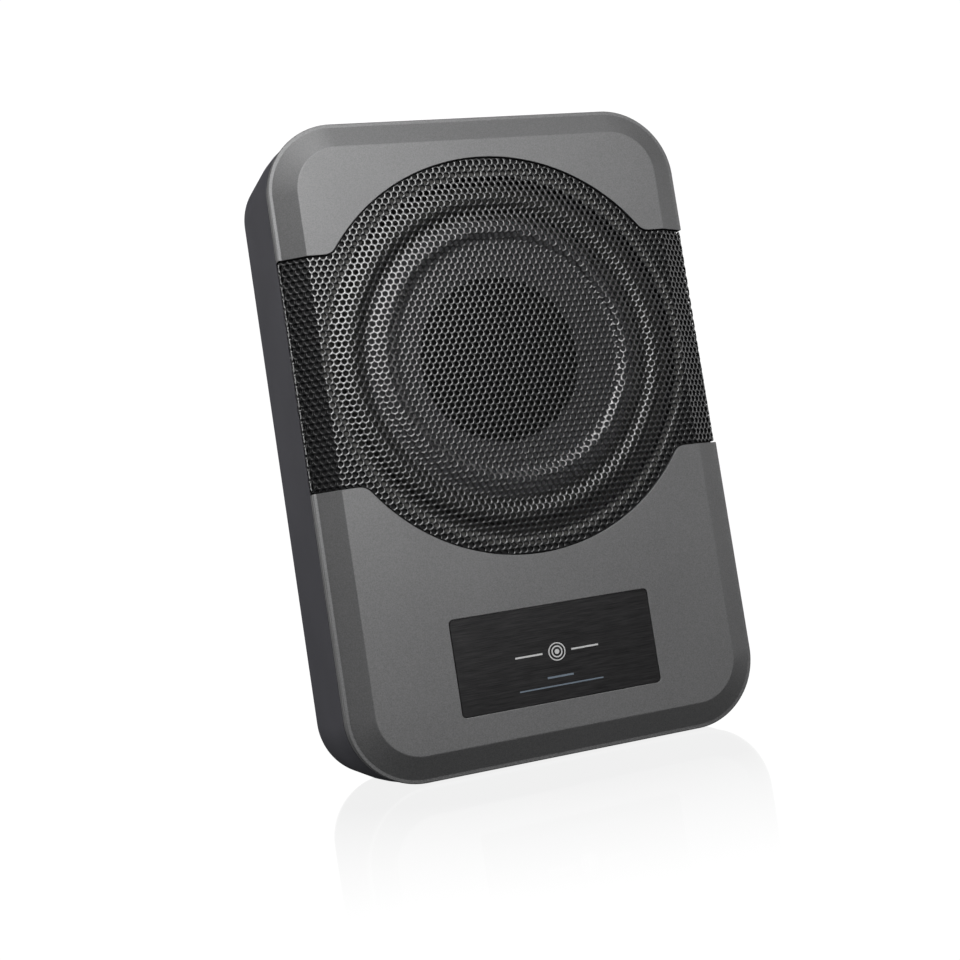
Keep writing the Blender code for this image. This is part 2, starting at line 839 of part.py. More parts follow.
def make_spider(material):
    inner = former_radius + former_wall + touch_gap
    outer = spider_ledge_outer - 0.0004
    land = spider_ledge_inner + 0.0002
    start = inner + 0.004
    back = spider_ledge_depth - touch_gap
    count = spider_waves * 4
    line = [(outer, back), (land, back)]
    for step in range(1, count):
        share = step / count
        radius = land + (start - land) * share
        line.append((radius, back - spider_wave_height * math.sin(share * spider_waves * 2 * math.pi)))
    line += [(start, back), (inner, back - 0.001)]
    front = [(radius, depth - spider_thickness) for radius, depth in line]
    return driver_turned("spider", [front[0]] + line + front[:0:-1], material)


def make_terminal_strip(material):
    """A tag strip on the outside of the frame's lowest spoke."""
    middle_radius = (ledge_inner_radius + spider_ledge_outer) / 2
    slope = math.atan2(spider_ledge_depth - ledge_depth, ledge_inner_radius - spider_ledge_outer)
    strip = add_box("terminal_strip", (-0.010, -0.007, -0.001), (0.010, 0.007, 0.001), material)
    offset = frame_sheet + 0.0021
    radius = middle_radius + offset * math.sin(slope)
    depth = frame_wall_depth(middle_radius) + offset * math.cos(slope)
    strip.location = place(0, driver_z - radius, depth)
    strip.rotation_euler = Euler((-slope, 0, 0))
    return strip


def make_leads(copper, red, black):
    for side, name in ((-1, "tinsel_lead_left"), (1, "tinsel_lead_right")):
        end_depth = cone_front_depth(0.0528) + paper_thickness + 0.0012
        points = [
            (side * 0.0120, driver_z - 0.0790, 0.0295),
            (side * 0.0190, driver_z - 0.0800, 0.0300),
            (side * 0.0250, driver_z - 0.0780, 0.0285),
            (side * 0.0285, driver_z - 0.0700, 0.0260),
            (side * 0.0270, driver_z - 0.0610, 0.0235),
            (side * 0.0220, driver_z - 0.0540, 0.0210),
            (side * 0.0170, driver_z - 0.0500, end_depth),
        ]
        wire(name, points, 0.0006, copper)
    lead_start = board_depth - 0.0012
    for x, name, material in ((-0.006, "speaker_lead_minus", black), (0.006, "speaker_lead_plus", red)):
        points = [
            (x, board_top - 0.008, lead_start),
            (x, board_top - 0.002, lead_start - 0.0005),
            (x, board_top + 0.008, lead_start - 0.004),
            (x, board_top + 0.018, lead_start - 0.013),
            (x, driver_z - 0.0850, 0.0440),
            (x, driver_z - 0.0830, 0.0380),
            (x, driver_z - 0.0805, 0.0330),
        ]
        wire(name, points, 0.0009, material)


# ---------------------------------------------------------------- amplifier
def make_amplifier(materials):
    board = add_box("amplifier_board", (-board_half_width, board_bottom, board_depth),
                    (board_half_width, board_top, board_depth + board_thickness), materials["board"])
    component_back = board_depth - touch_gap
    bar_bottom = side_wall + heat_bar_bottom_gap
    bar_top = bar_bottom + heat_bar_height
    inner_depth = overall_depth - back_wall
    add_box("heat_sink_bar", (-heat_bar_half_length, bar_bottom, heat_bar_front_depth),
            (heat_bar_half_length, bar_top, inner_depth - touch_gap), materials["aluminium"])
    for index, x in enumerate(transistor_positions, 1):
        body = add_box(f"transistor_{index}", (x - 0.005, bar_top + touch_gap, 0.0490),
                       (x + 0.005, bar_top + touch_gap + 0.0045, 0.0640), materials["epoxy"])
        leg_z = bar_top + touch_gap + 0.0022
        for leg in (-1, 0, 1):
            boolean(body, add_box(f"guide_leg_{index}_{leg + 2}",
                                  (x + leg * 0.0025 - 0.0004, leg_z - 0.0004, 0.0630),
                                  (x + leg * 0.0025 + 0.0004, leg_z + 0.0004, component_back)), "UNION")
    can_front = component_back - capacitor_length
    for index, x in enumerate(capacitor_positions, 1):
        can = add_cylinder(f"capacitor_{index}", capacitor_radius, place(x, 0.046, can_front),
                           place(x, 0.046, component_back), materials["sleeve"])
        rounding = can.modifiers.new("crimp", "BEVEL")
        rounding.width = 0.0008
        rounding.segments = 1
    make_toroid("transformer", 0.020, 0.052, 0.0140, 0.0060, materials["copper"])
    fuse = add_box("fuse", (-0.0655, 0.080, component_back - 0.012), (-0.0465, 0.085, component_back),
                   materials["amber"], bevel=0.0006)
    return board, fuse


def make_toroid(name, x, z, major, minor, material):
    """A wound ring core lying flat on the board."""
    bm = bmesh.new()
    count = 8
    for step in range(count):
        angle = 2 * math.pi * step / count
        bm.verts.new((major + minor * math.cos(angle), 0, minor * math.sin(angle)))
    bm.verts.ensure_lookup_table()
    profile = [(vert.co.x, vert.co.z) for vert in bm.verts]
    bm.free()
    return add_turned(name, profile[::-1], place(x, z, board_depth - touch_gap - minor),
                      Euler((math.radians(90), 0, 0)), material, steps=16)


# ---------------------------------------------------------------- control panel
def make_control_panel(material):
    gap = touch_gap
    panel = add_box("control_panel", (panel_back_x, panel_bottom + gap, panel_front_depth + gap),
                    (panel_face_x, panel_top - gap, panel_back_depth - gap), material)
    outside = panel_face_x + 0.003
    inside = panel_back_x - 0.003
    round_holes = [(knob_height, depth, shaft_radius + hole_clearance) for depth in front_depths]
    round_holes += [(jack_height, depth, jack_radius + hole_clearance) for depth in front_depths]
    round_holes += [(lamp_height, panel_middle_depth, lamp_radius + hole_clearance)]
    round_holes += [(z, depth, panel_hole_radius) for z, depth in panel_screw_places()]
    for index, (z, depth, radius) in enumerate(round_holes, 1):
        boolean(panel, add_cylinder(f"cut_panel_hole_{index}", radius, place(inside, z, depth),
                                    place(outside, z, depth), steps=14))
    for index, depth in enumerate(front_depths, 1):
        low = switch_height - slider_length / 2 - hole_clearance
        high = switch_height + switch_travel + slider_length / 2 + hole_clearance
        half = slider_width / 2 + hole_clearance
        boolean(panel, add_box(f"cut_switch_slot_{index}", (inside, low, depth - half),
                               (outside, high, depth + half)))
    for name, size in socket_sizes().items():
        z, depth, height, width = size
        grow = hole_clearance
        boolean(panel, add_box(f"cut_{name}",
                               (inside, z - height / 2 - grow, depth - width / 2 - grow),
                               (outside, z + height / 2 + grow, depth + width / 2 + grow)))
    return panel


def socket_sizes():
    """Each socket's middle (z, depth) and its outer height and width."""
    return {
        "power_socket": (power_row_height, panel_middle_depth, *power_socket_size),
        "speaker_input_socket": (signal_row_height, panel_middle_depth + 0.006, *speaker_socket_size),
        "remote_socket": (signal_row_height, panel_middle_depth - 0.014, *remote_socket_size),
    }


def make_socket(name, pin_count, pin_rows, material):
    z, depth, height, width = socket_sizes()[name]
    wall = 0.0013
    rear_x = panel_face_x - panel_board_setback
    mouth_x = panel_face_x + 0.0040
    floor_x = rear_x + 0.0012
    socket = add_box(name, (rear_x, z - height / 2, depth - width / 2),
                     (mouth_x, z + height / 2, depth + width / 2), material)
    boolean(socket, add_box(f"cut_{name}_mouth",
                            (floor_x, z - height / 2 + wall, depth - width / 2 + wall),
                            (mouth_x + 0.002, z + height / 2 - wall, depth + width / 2 - wall)))
    inner_width = width - 2 * wall
    inner_height = height - 2 * wall
    for row in range(pin_rows):
        for column in range(pin_count):
            pin_z = z + inner_height * ((row + 0.5) / pin_rows - 0.5)
            pin_depth = depth + inner_width * ((column + 0.5) / pin_count - 0.5)
            boolean(socket, add_box(f"guide_{name}_pin_{row}_{column}",
                                    (floor_x - 0.0005, pin_z - 0.0005, pin_depth - 0.0005),
                                    (floor_x + 0.0060, pin_z + 0.0005, pin_depth + 0.0005)), "UNION")
    return socket


def make_knob(name, z, depth, material):
    profile = [
        (0.0, knob_gap + knob_length),
        (knob_radius - 0.0008, knob_gap + knob_length),
        (knob_radius - 0.0003, knob_gap + knob_length - 0.0006),
        (knob_radius, knob_gap),
        (shaft_radius, knob_gap),
        (shaft_radius, -shaft_length),
        (0.0, -shaft_length),
    ]
    knob = panel_turned(name, profile, z, depth, material, closed=False)
    mark_x = panel_face_x + knob_gap + knob_length
    boolean(knob, add_box(f"cut_{name}_mark", (mark_x - 0.0008, z, depth - 0.0005),
                          (mark_x + 0.001, z + knob_radius + 0.001, depth + 0.0005)))
    return knob


def make_pot(name, z, depth, material):
    front = -panel_thickness - touch_gap
    back = touch_gap - panel_board_setback
    floor = back + 0.0006
    bore = shaft_radius + hole_clearance
    profile = [(0.0, floor), (bore, floor), (bore, front), (pot_radius, front),
               (pot_radius, back), (0.0, back)]
    return panel_turned(name, profile, z, depth, material, closed=False)


def make_jack(name, depth, material):
    reach = panel_recess - 0.0010
    flange_front = -panel_thickness - touch_gap
    profile = [
        (0.0, 0.0),
        (jack_bore_radius, 0.0),
        (jack_bore_radius, reach),
        (jack_radius - 0.0004, reach),
        (jack_radius, reach - 0.0004),
        (jack_radius, flange_front),
        (jack_flange_radius, flange_front),
        (jack_flange_radius, flange_front - jack_flange_length),
        (0.0, flange_front - jack_flange_length),
    ]
    return panel_turned(name, profile, jack_height, depth, material, closed=False)


def make_switch(name, depth, slider_material, body_material):
    slider_back = panel_back_x + 0.0002
    slider = add_box(name, (slider_back, switch_height - slider_length / 2, depth - slider_width / 2),
                     (panel_face_x + slider_reach, switch_height + slider_length / 2,
                      depth + slider_width / 2), slider_material)
    ridge_x = panel_face_x + slider_reach
    boolean(slider, add_box(f"cut_{name}_grip", (ridge_x - 0.0006, switch_height - 0.0004, depth - 0.01),
                            (ridge_x + 0.001, switch_height + 0.0004, depth + 0.01)))
    middle = switch_height + switch_travel / 2
    add_box(f"{name}_body", (panel_back_x - 0.0072, middle - 0.0065, depth - 0.0040),
            (panel_back_x - touch_gap, middle + 0.0065, depth + 0.0040), body_material)
    return slider


def make_panel_parts(materials):
    make_control_panel(materials["panel"])
    board_x = panel_face_x - panel_board_setback - touch_gap
    add_box("panel_board", (board_x - board_thickness, panel_bottom + 0.010, panel_front_depth + 0.002),
            (board_x, panel_top - 0.004, panel_back_depth - 0.002), materials["board"])
    for prefix, depth in zip(("gain", "filter"), front_depths):
        make_knob(f"{prefix}_knob", knob_height, depth, materials["knob"])
        make_pot(f"{prefix}_pot", knob_height, depth, materials["metal"])
    for name, depth in zip(("phase_switch", "input_switch"), front_depths):
        make_switch(name, depth, materials["knob"], materials["metal"])
    make_jack("rca_jack_left", front_depths[0], materials["white"])
    make_jack("rca_jack_right", front_depths[1], materials["red"])
    make_socket("power_socket", 4, 2, materials["connector"])
    make_socket("speaker_input_socket", 4, 1, materials["connector"])
    make_socket("remote_socket", 3, 1, materials["connector"])
    panel_turned("power_lamp", [(0.0, lamp_rise), (lamp_radius / 2, 0.9 * lamp_rise),
                                (0.87 * lamp_radius, lamp_rise / 2), (lamp_radius, 0.0),
                                (lamp_radius, -lamp_length), (0.0, -lamp_length)],
                 lamp_height, panel_middle_depth, materials["lens"], steps=16, closed=False)
    rotation = Euler((0, math.radians(-90), 0))
    for index, (z, depth) in enumerate(panel_screw_places(), 1):
        make_screw(f"panel_screw_{index}", panel_screw_head_radius, 0.0015, 0.0013, 0.0060,
                   place(panel_face_x + touch_gap, z, depth), rotation, materials["screw"])


def make_materials():
    return {
        "cover": make_material("painted_cover", (0.125, 0.125, 0.130), 0.42, 0.25),
        "grille": make_material("black_steel", (0.015, 0.015, 0.016), 0.30, 0.30),
        "badge": make_material("black_brushed_plate", (0.020, 0.020, 0.022), 0.35, 0.60),
        "housing": make_material("coated_casting", (0.055, 0.056, 0.065), 0.50, 0.40),
        "rubber": make_material("black_rubber", (0.012, 0.012, 0.012), 0.70),
        "foam": make_material("seal_foam", (0.020, 0.020, 0.020), 0.90),
        "frame": make_material("black_stamped_steel", (0.020, 0.020, 0.022), 0.45, 0.50),
        "paper": make_material("grey_coated_paper", (0.090, 0.090, 0.095), 0.60),
        "cap": make_material("black_cap", (0.010, 0.010, 0.010), 0.75),
        "cloth": make_material("treated_cloth", (0.350, 0.260, 0.120), 0.85),
        "former": make_material("former_foil", (0.550, 0.500, 0.350), 0.40, 0.30),
        "copper": make_material("copper", (0.550, 0.250, 0.130), 0.35, 1.0),
        "steel": make_material("zinc_steel", (0.600, 0.600, 0.580), 0.35, 1.0),
        "ferrite": make_material("ferrite", (0.060, 0.058, 0.060), 0.65),
        "aluminium": make_material("aluminium", (0.700, 0.700, 0.700), 0.40, 1.0),
        "board": make_material("circuit_board", (0.020, 0.120, 0.050), 0.45),
        "epoxy": make_material("epoxy_package", (0.020, 0.020, 0.020), 0.50),
        "sleeve": make_material("capacitor_sleeve", (0.030, 0.040, 0.090), 0.40),
        "amber": make_material("fuse_body", (0.700, 0.300, 0.030), 0.35),
        "red": make_material("red_plastic", (0.450, 0.020, 0.020), 0.40),
        "white": make_material("white_plastic", (0.750, 0.750, 0.730), 0.40),
        "black": make_material("black_insulation", (0.015, 0.015, 0.015), 0.50),
        "panel": make_material("panel_black", (0.020, 0.020, 0.020), 0.55),
        "knob": make_material("knob_black", (0.015, 0.015, 0.015), 0.45),
        "metal": make_material("plated_can", (0.600, 0.600, 0.600), 0.35, 1.0),
        "connector": make_material("connector_nylon", (0.030, 0.030, 0.030), 0.50),
        "lens": make_material("lamp_lens", (0.050, 0.200, 0.600), 0.20),
        "screw": make_material("black_screw", (0.030, 0.030, 0.030), 0.40, 0.80),
    }


def build():
    global part_collection, cutter_collection
    clear_scene()
    part_collection = make_collection("powered_car_subwoofer")
    cutter_collection = make_collection("cutters")
    materials = make_materials()
    make_front_cover(materials["cover"])
    make_badge_plate(materials["badge"])
    make_grille(materials["grille"])
    make_cover_gasket(materials["foam"])
    make_housing(materials["housing"])
    make_cover_screws(materials["screw"])
    make_driver_frame(materials["frame"])
    make_driver_gasket(materials["foam"])
    make_driver_screws(materials["screw"])
    make_surround(materials["rubber"])
    make_cone(materials["paper"])
    make_dust_cap(materials["cap"])
    make_motor(materials["steel"], materials["ferrite"], materials["former"], materials["copper"])
    make_spider(materials["cloth"])
    make_terminal_strip(materials["epoxy"])
    make_leads(materials["copper"], materials["red"], materials["black"])
    make_amplifier(materials)
    make_panel_parts(materials)


build()
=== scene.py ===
import math

import bmesh
import bpy
from mathutils import Euler, Matrix, Vector, geometry, kdtree


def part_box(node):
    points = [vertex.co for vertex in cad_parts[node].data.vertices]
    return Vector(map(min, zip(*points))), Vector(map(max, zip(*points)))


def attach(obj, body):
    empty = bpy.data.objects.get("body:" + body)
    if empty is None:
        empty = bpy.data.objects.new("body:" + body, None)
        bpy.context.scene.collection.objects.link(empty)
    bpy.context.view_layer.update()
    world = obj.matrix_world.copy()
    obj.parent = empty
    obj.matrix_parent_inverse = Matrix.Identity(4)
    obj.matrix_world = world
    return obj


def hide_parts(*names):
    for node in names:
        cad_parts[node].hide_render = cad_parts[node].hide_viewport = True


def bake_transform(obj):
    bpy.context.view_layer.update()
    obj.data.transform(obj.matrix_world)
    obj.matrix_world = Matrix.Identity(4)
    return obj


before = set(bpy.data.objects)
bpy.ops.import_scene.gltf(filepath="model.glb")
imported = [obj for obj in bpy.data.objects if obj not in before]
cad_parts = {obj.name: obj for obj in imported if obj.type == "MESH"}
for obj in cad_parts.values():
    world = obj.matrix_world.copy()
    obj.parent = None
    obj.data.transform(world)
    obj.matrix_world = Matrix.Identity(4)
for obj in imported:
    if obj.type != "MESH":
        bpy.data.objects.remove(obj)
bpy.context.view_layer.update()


class Wire:  # an output socket; arithmetic on it adds Math nodes
    def __init__(self, finish, socket):
        self.finish = finish
        self.socket = socket

    def math(self, operation, other, swapped=False):
        first, second = (other, self) if swapped else (self, other)
        return self.finish.node("ShaderNodeMath", {"operation": operation}, {0: first, 1: second})

    def __add__(self, other):
        return self.math("ADD", other)

    def __sub__(self, other):
        return self.math("SUBTRACT", other)

    def __rsub__(self, other):
        return self.math("SUBTRACT", other, True)

    def __mul__(self, other):
        return self.math("MULTIPLY", other)

    def __pow__(self, other):
        return self.math("POWER", other)

    __radd__ = __add__
    __rmul__ = __mul__

    def clamp(self):
        return self.finish.node("ShaderNodeClamp", {}, {0: self})


class Finish:  # one material and its Principled shader
    def __init__(self, name, **fixed):
        self.material = bpy.data.materials.new(name)
        self.material.use_nodes = True
        self.tree = self.material.node_tree
        self.shader = self.tree.nodes["Principled BSDF"]
        for key, value in fixed.items():
            self.feed(self.shader, socketNames[key], value)
        self.spot = None

    def feed(self, node, key, value):
        socket = node.inputs[key]
        if isinstance(value, Wire):
            self.tree.links.new(value.socket, socket)
        elif isinstance(value, tuple) and len(value) == 3 and len(socket.default_value) == 4:
            socket.default_value = (*value, 1.0)
        else:
            socket.default_value = value

    def node(self, kind, settings=None, values=None, output=0):
        made = self.tree.nodes.new(kind)
        for key, value in (settings or {}).items():
            if key == "stops":
                while len(made.color_ramp.elements) < len(value):
                    made.color_ramp.elements.new(0.5)
                for element, (place, shade) in zip(made.color_ramp.elements, value):
                    element.position = place
                    element.color = (shade, shade, shade, 1.0)
            else:
                setattr(made, key, value)
        for key, value in (values or {}).items():
            self.feed(made, key, value)
        return Wire(self, made.outputs[output])

    def point(self):
        if self.spot is None:
            self.spot = self.node("ShaderNodeTexCoord", output="Object")
        return self.spot

    def stretched(self, x, y, z):
        return self.node("ShaderNodeVectorMath", {"operation": "MULTIPLY"},
                         {0: self.point(), 1: (x, y, z)})

    def axis(self, name):
        return self.node("ShaderNodeSeparateXYZ", {}, {0: self.point()}, output=name)

    def noise(self, scale, detail=2.0, rough=0.5, where=None):
        return self.node("ShaderNodeTexNoise", {}, {
            "Vector": where or self.point(), "Scale": scale, "Detail": detail, "Roughness": rough})

    def ramp(self, value, stops):
        return self.node("ShaderNodeValToRGB", {"stops": stops}, {0: value})

    def mix(self, factor, first, second):
        return self.node("ShaderNodeMix", {"data_type": "RGBA"},
                         {0: factor, 6: first, 7: second}, 2)

    def bump(self, height, strength, distance):
        return self.node("ShaderNodeBump", {}, {
            "Height": height, "Strength": strength, "Distance": distance})

    def give(self, **changing):
        for key, value in changing.items():
            self.feed(self.shader, socketNames[key], value)
        return self


socketNames = {"color": "Base Color", "rough": "Roughness", "metal": "Metallic",
               "coat": "Coat Weight", "coatRough": "Coat Roughness",
               "specular": "Specular IOR Level", "normal": "Normal", "glow": "Emission Color",
               "glowPower": "Emission Strength", "sheen": "Sheen Weight"}


coverPaint = {"light": (0.285, 0.285, 0.287), "dark": (0.200, 0.200, 0.203), "flake": 1500.0,
              "rough": 0.48, "metal": 0.60, "grain": 0.00010}


def paintedCoverFinish():
    paint = Finish("metallicGreyPaint", metal=coverPaint["metal"], specular=0.5)
    flakes = paint.noise(coverPaint["flake"], 3.0, 0.7)
    cloud = paint.noise(18.0, 2.0, 0.5)
    share = paint.ramp(flakes * 0.85 + cloud * 0.15, [(0.36, 0.0), (0.64, 1.0)])
    color = paint.mix(share, coverPaint["dark"], coverPaint["light"])
    rough = coverPaint["rough"] + (flakes - 0.5) * 0.18
    fine = paint.noise(900.0, 2.0, 0.6)
    return paint.give(color=color, rough=rough, normal=paint.bump(fine, 0.25, coverPaint["grain"]))


mouldedBlack = {"low": (0.008, 0.008, 0.009), "high": (0.016, 0.016, 0.017), "rough": 0.62}


def mouldedBlackFinish():
    plastic = Finish("mouldedBlack", specular=0.35)
    fine = plastic.noise(1400.0, 3.0, 0.6)
    color = plastic.mix(fine, mouldedBlack["low"], mouldedBlack["high"])
    return plastic.give(color=color, rough=mouldedBlack["rough"] + (fine - 0.5) * 0.12,
                        normal=plastic.bump(fine, 0.3, 0.00008))


# painted shade on the seat under the grille: black, with a darkened grey ring outside the driver
# opening
seatShade = {"shadowBlack": (0.008, 0.008, 0.009), "shadedGrey": (0.105, 0.103, 0.098), "inner": 0.0968,
            "outer": 0.1020, "soft": 0.0005}


def seatFinish():
    coat = Finish("shadedSeat", specular=0.3)
    fine = coat.noise(1400.0, 3.0, 0.6)
    low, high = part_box("grille")
    along = coat.axis("X")
    up = coat.axis("Z") - (low[2] + high[2]) / 2
    reach = (along * along + up * up) ** 0.5
    start = (reach - seatShade["inner"]) * (1 / seatShade["soft"])
    end = (seatShade["outer"] - reach) * (1 / seatShade["soft"])
    ring = start.clamp() * end.clamp()
    # painted shade: the seat is darkened to black, and to a shaded grey in the ring, standing for
    # its shadow under the sheet
    grey = coat.mix(fine, tuple(part * 0.75 for part in seatShade["shadedGrey"]), seatShade["shadedGrey"])
    return coat.give(color=coat.mix(ring, seatShade["shadowBlack"], grey),
                     rough=0.60 + (fine - 0.5) * 0.12, normal=coat.bump(fine, 0.3, 0.00008))


castingCoat = {"low": (0.085, 0.084, 0.097), "high": (0.122, 0.121, 0.138), "rough": 0.46}


def castingFinish():
    coat = Finish("castingCoat", metal=0.25, specular=0.5)
    fine = coat.noise(1300.0, 3.0, 0.65)
    cloud = coat.noise(25.0, 3.0, 0.5)
    color = coat.mix(coat.ramp(fine * 0.7 + cloud * 0.3, [(0.35, 0.0), (0.65, 1.0)]),
                     castingCoat["low"], castingCoat["high"])
    return coat.give(color=color, rough=castingCoat["rough"] + (fine - 0.5) * 0.16,
                     normal=coat.bump(fine, 0.35, 0.00015))


grilleCoat = {"rough": 0.22}


def grilleFinish():
    coat = Finish("blackPowderCoat", specular=1.0, coat=1.0, coatRough=0.12)
    fine = coat.noise(1800.0, 2.0, 0.6)
    cloud = coat.noise(40.0, 2.0, 0.5)
    color = coat.mix(fine, (0.010, 0.010, 0.011), (0.020, 0.020, 0.021))
    rough = grilleCoat["rough"] + (fine * 0.6 + cloud * 0.4 - 0.5) * 0.12
    return coat.give(color=color, rough=rough, normal=coat.bump(fine, 0.12, 0.00006))


def brushedBadgeFinish():
    plate = Finish("blackBrushedPlate", metal=0.75, specular=0.5)
    lines = plate.noise(1.0, 4.0, 0.75, plate.stretched(70.0, 70.0, 2600.0))
    broad = plate.noise(1.0, 3.0, 0.6, plate.stretched(16.0, 16.0, 700.0))
    streak = plate.ramp(lines * 0.85 + broad * 0.15, [(0.30, 0.0), (0.70, 1.0)])
    color = plate.mix(streak, (0.028, 0.028, 0.029), (0.082, 0.080, 0.082))
    return plate.give(color=color, rough=0.30 + streak * 0.16,
                      normal=plate.bump(lines, 0.25, 0.00005))


def printedInkFinish(name, shade, rough=0.45):
    ink = Finish(name, specular=0.4)
    fine = ink.noise(2500.0, 2.0, 0.6)
    faded = tuple(part * 0.88 for part in shade)
    return ink.give(color=ink.mix(fine, faded, shade), rough=rough + (fine - 0.5) * 0.1)


def rubberFinish():
    rubber = Finish("surroundRubber", specular=0.3)
    fine = rubber.noise(900.0, 3.0, 0.6)
    return rubber.give(color=rubber.mix(fine, (0.045, 0.045, 0.042), (0.080, 0.079, 0.075)),
                       rough=0.62 + (fine - 0.5) * 0.15, normal=rubber.bump(fine, 0.3, 0.0001))


def conePaperFinish():
    paper = Finish("coatedConePaper", specular=0.3)
    fibre = paper.noise(700.0, 5.0, 0.7)
    color = paper.mix(paper.ramp(fibre, [(0.3, 0.0), (0.7, 1.0)]),
                      (0.110, 0.110, 0.115), (0.190, 0.190, 0.200))
    return paper.give(color=color, rough=0.68, normal=paper.bump(fibre, 0.5, 0.0002))


def dustCapFinish():
    cap = Finish("blackDustCap", specular=0.25)
    fibre = cap.noise(900.0, 4.0, 0.7)
    return cap.give(color=cap.mix(fibre, (0.006, 0.006, 0.006), (0.012, 0.012, 0.012)), rough=0.75,
                    normal=cap.bump(fibre, 0.4, 0.00015))


def spiderClothFinish():
    cloth = Finish("resinCloth", specular=0.2, sheen=0.2)
    across = cloth.node("ShaderNodeTexWave", {"wave_type": "BANDS", "bands_direction": "X"},
                        {"Vector": cloth.point(), "Scale": 900.0, "Distortion": 0.4})
    along = cloth.node("ShaderNodeTexWave", {"wave_type": "BANDS", "bands_direction": "Z"},
                       {"Vector": cloth.point(), "Scale": 900.0, "Distortion": 0.4})
    weave = across * along
    return cloth.give(color=cloth.mix(weave, (0.200, 0.130, 0.050), (0.380, 0.270, 0.120)),
                      rough=0.8, normal=cloth.bump(weave, 0.5, 0.0002))


def foamFinish():
    foam = Finish("sealFoam", specular=0.2)
    cells = foam.noise(2600.0, 3.0, 0.6)
    return foam.give(color=foam.mix(cells, (0.006, 0.006, 0.006), (0.020, 0.020, 0.020)),
                     rough=0.9, normal=foam.bump(cells, 0.5, 0.0002))


def metalFinish(name, low, high, rough, scale=600.0, metal=1.0):
    plated = Finish(name, metal=metal)
    fine = plated.noise(scale, 4.0, 0.65)
    cloud = plated.noise(60.0, 3.0, 0.5)
    return plated.give(color=plated.mix(cloud, low, high), rough=rough + (fine - 0.5) * 0.16,
                       normal=plated.bump(fine, 0.15, 0.0001))


def plasticFinish(name, low, high, rough=0.42, scale=1200.0, specular=0.45):
    plastic = Finish(name, specular=specular)
    fine = plastic.noise(scale, 3.0, 0.6)
    return plastic.give(color=plastic.mix(fine, low, high), rough=rough + (fine - 0.5) * 0.12,
                        normal=plastic.bump(fine, 0.2, 0.00008))


def boardFinish():
    board = Finish("solderMask", specular=0.5, coat=0.2)
    tracks = board.node("ShaderNodeTexVoronoi",
                        {"feature": "DISTANCE_TO_EDGE", "distance": "CHEBYCHEV"},
                        {"Vector": board.point(), "Scale": 190.0})
    copper = board.ramp(tracks, [(0.05, 1.0), (0.09, 0.0)])
    return board.give(color=board.mix(copper, (0.010, 0.060, 0.025), (0.020, 0.130, 0.050)),
                      rough=0.35 + copper * 0.1, normal=board.bump(copper, 0.3, 0.0001))


def lampFinish():
    lens = Finish("lampLens", specular=0.6, glowPower=0.6)
    shade = lens.noise(400.0, 2.0, 0.5)
    return lens.give(color=lens.mix(shade, (0.03, 0.12, 0.45), (0.06, 0.22, 0.65)),
                     glow=lens.mix(shade, (0.02, 0.10, 0.50), (0.04, 0.16, 0.65)), rough=0.18)


print("finishes")
finishes = {
    "cover": paintedCoverFinish(),
    "moulded": mouldedBlackFinish(),
    "seat": seatFinish(),
    "casting": castingFinish(),
    "grille": grilleFinish(),
    "badge": brushedBadgeFinish(),
    "whiteInk": printedInkFinish("whiteInk", (0.80, 0.80, 0.80)),
    "greyInk": printedInkFinish("greyInk", (0.22, 0.27, 0.33)),
    "rubber": rubberFinish(),
    "paper": conePaperFinish(),
    "cap": dustCapFinish(),
    "cloth": spiderClothFinish(),
    "foam": foamFinish(),
    "zinc": metalFinish("zincSteel", (0.42, 0.42, 0.41), (0.60, 0.60, 0.58), 0.36),
    "aluminium": metalFinish("plainAluminium", (0.55, 0.55, 0.56), (0.72, 0.72, 0.73), 0.38),
    "copper": metalFinish("copperWinding", (0.40, 0.16, 0.08), (0.62, 0.30, 0.16), 0.34, 2400.0),
    "foil": metalFinish("formerFoil", (0.42, 0.36, 0.22), (0.58, 0.50, 0.34), 0.42),
    "gold": metalFinish("goldContact", (0.65, 0.45, 0.16), (0.85, 0.62, 0.28), 0.28),
    "nickel": metalFinish("nickelBarrel", (0.48, 0.47, 0.44), (0.66, 0.65, 0.61), 0.26),
    "screw": metalFinish("blackOxide", (0.022, 0.022, 0.023), (0.045, 0.045, 0.047), 0.36, 900.0),
    "stamped": plasticFinish("blackStampedSteel", (0.010, 0.010, 0.011),
                             (0.024, 0.024, 0.026), 0.40),
    "ferrite": plasticFinish("groundFerrite", (0.035, 0.034, 0.036),
                             (0.070, 0.068, 0.072), 0.60, 500.0),
    "panel": plasticFinish("panelCoat", (0.010, 0.010, 0.011),
                           (0.022, 0.022, 0.024), 0.50, 1600.0),
    "knob": plasticFinish("knobPlastic", (0.010, 0.010, 0.010), (0.018, 0.018, 0.018), 0.42),
    "nylon": plasticFinish("connectorNylon", (0.018, 0.018, 0.018), (0.034, 0.034, 0.034), 0.48),
    "epoxy": plasticFinish("mouldedEpoxy", (0.012, 0.012, 0.012), (0.026, 0.026, 0.026), 0.50),
    "sleeve": plasticFinish("capacitorSleeve", (0.012, 0.018, 0.050), (0.028, 0.040, 0.100), 0.32),
    "amber": plasticFinish("fuseBody", (0.48, 0.18, 0.01), (0.70, 0.30, 0.03), 0.30),
    "white": plasticFinish("whiteInsulator", (0.62, 0.62, 0.60), (0.76, 0.76, 0.74), 0.36),
    "red": plasticFinish("redInsulator", (0.32, 0.010, 0.010), (0.48, 0.020, 0.020), 0.36),
    "black": plasticFinish("leadInsulation", (0.008, 0.008, 0.008), (0.018, 0.018, 0.018), 0.50),
    "board": boardFinish(),
    "lamp": lampFinish(),
}


def makeObject(name, mesh, finishNames):
    piece = bpy.data.objects.new(name, mesh)
    bpy.context.scene.collection.objects.link(piece)
    for finishName in finishNames:
        mesh.materials.append(finishes[finishName].material)
    return piece


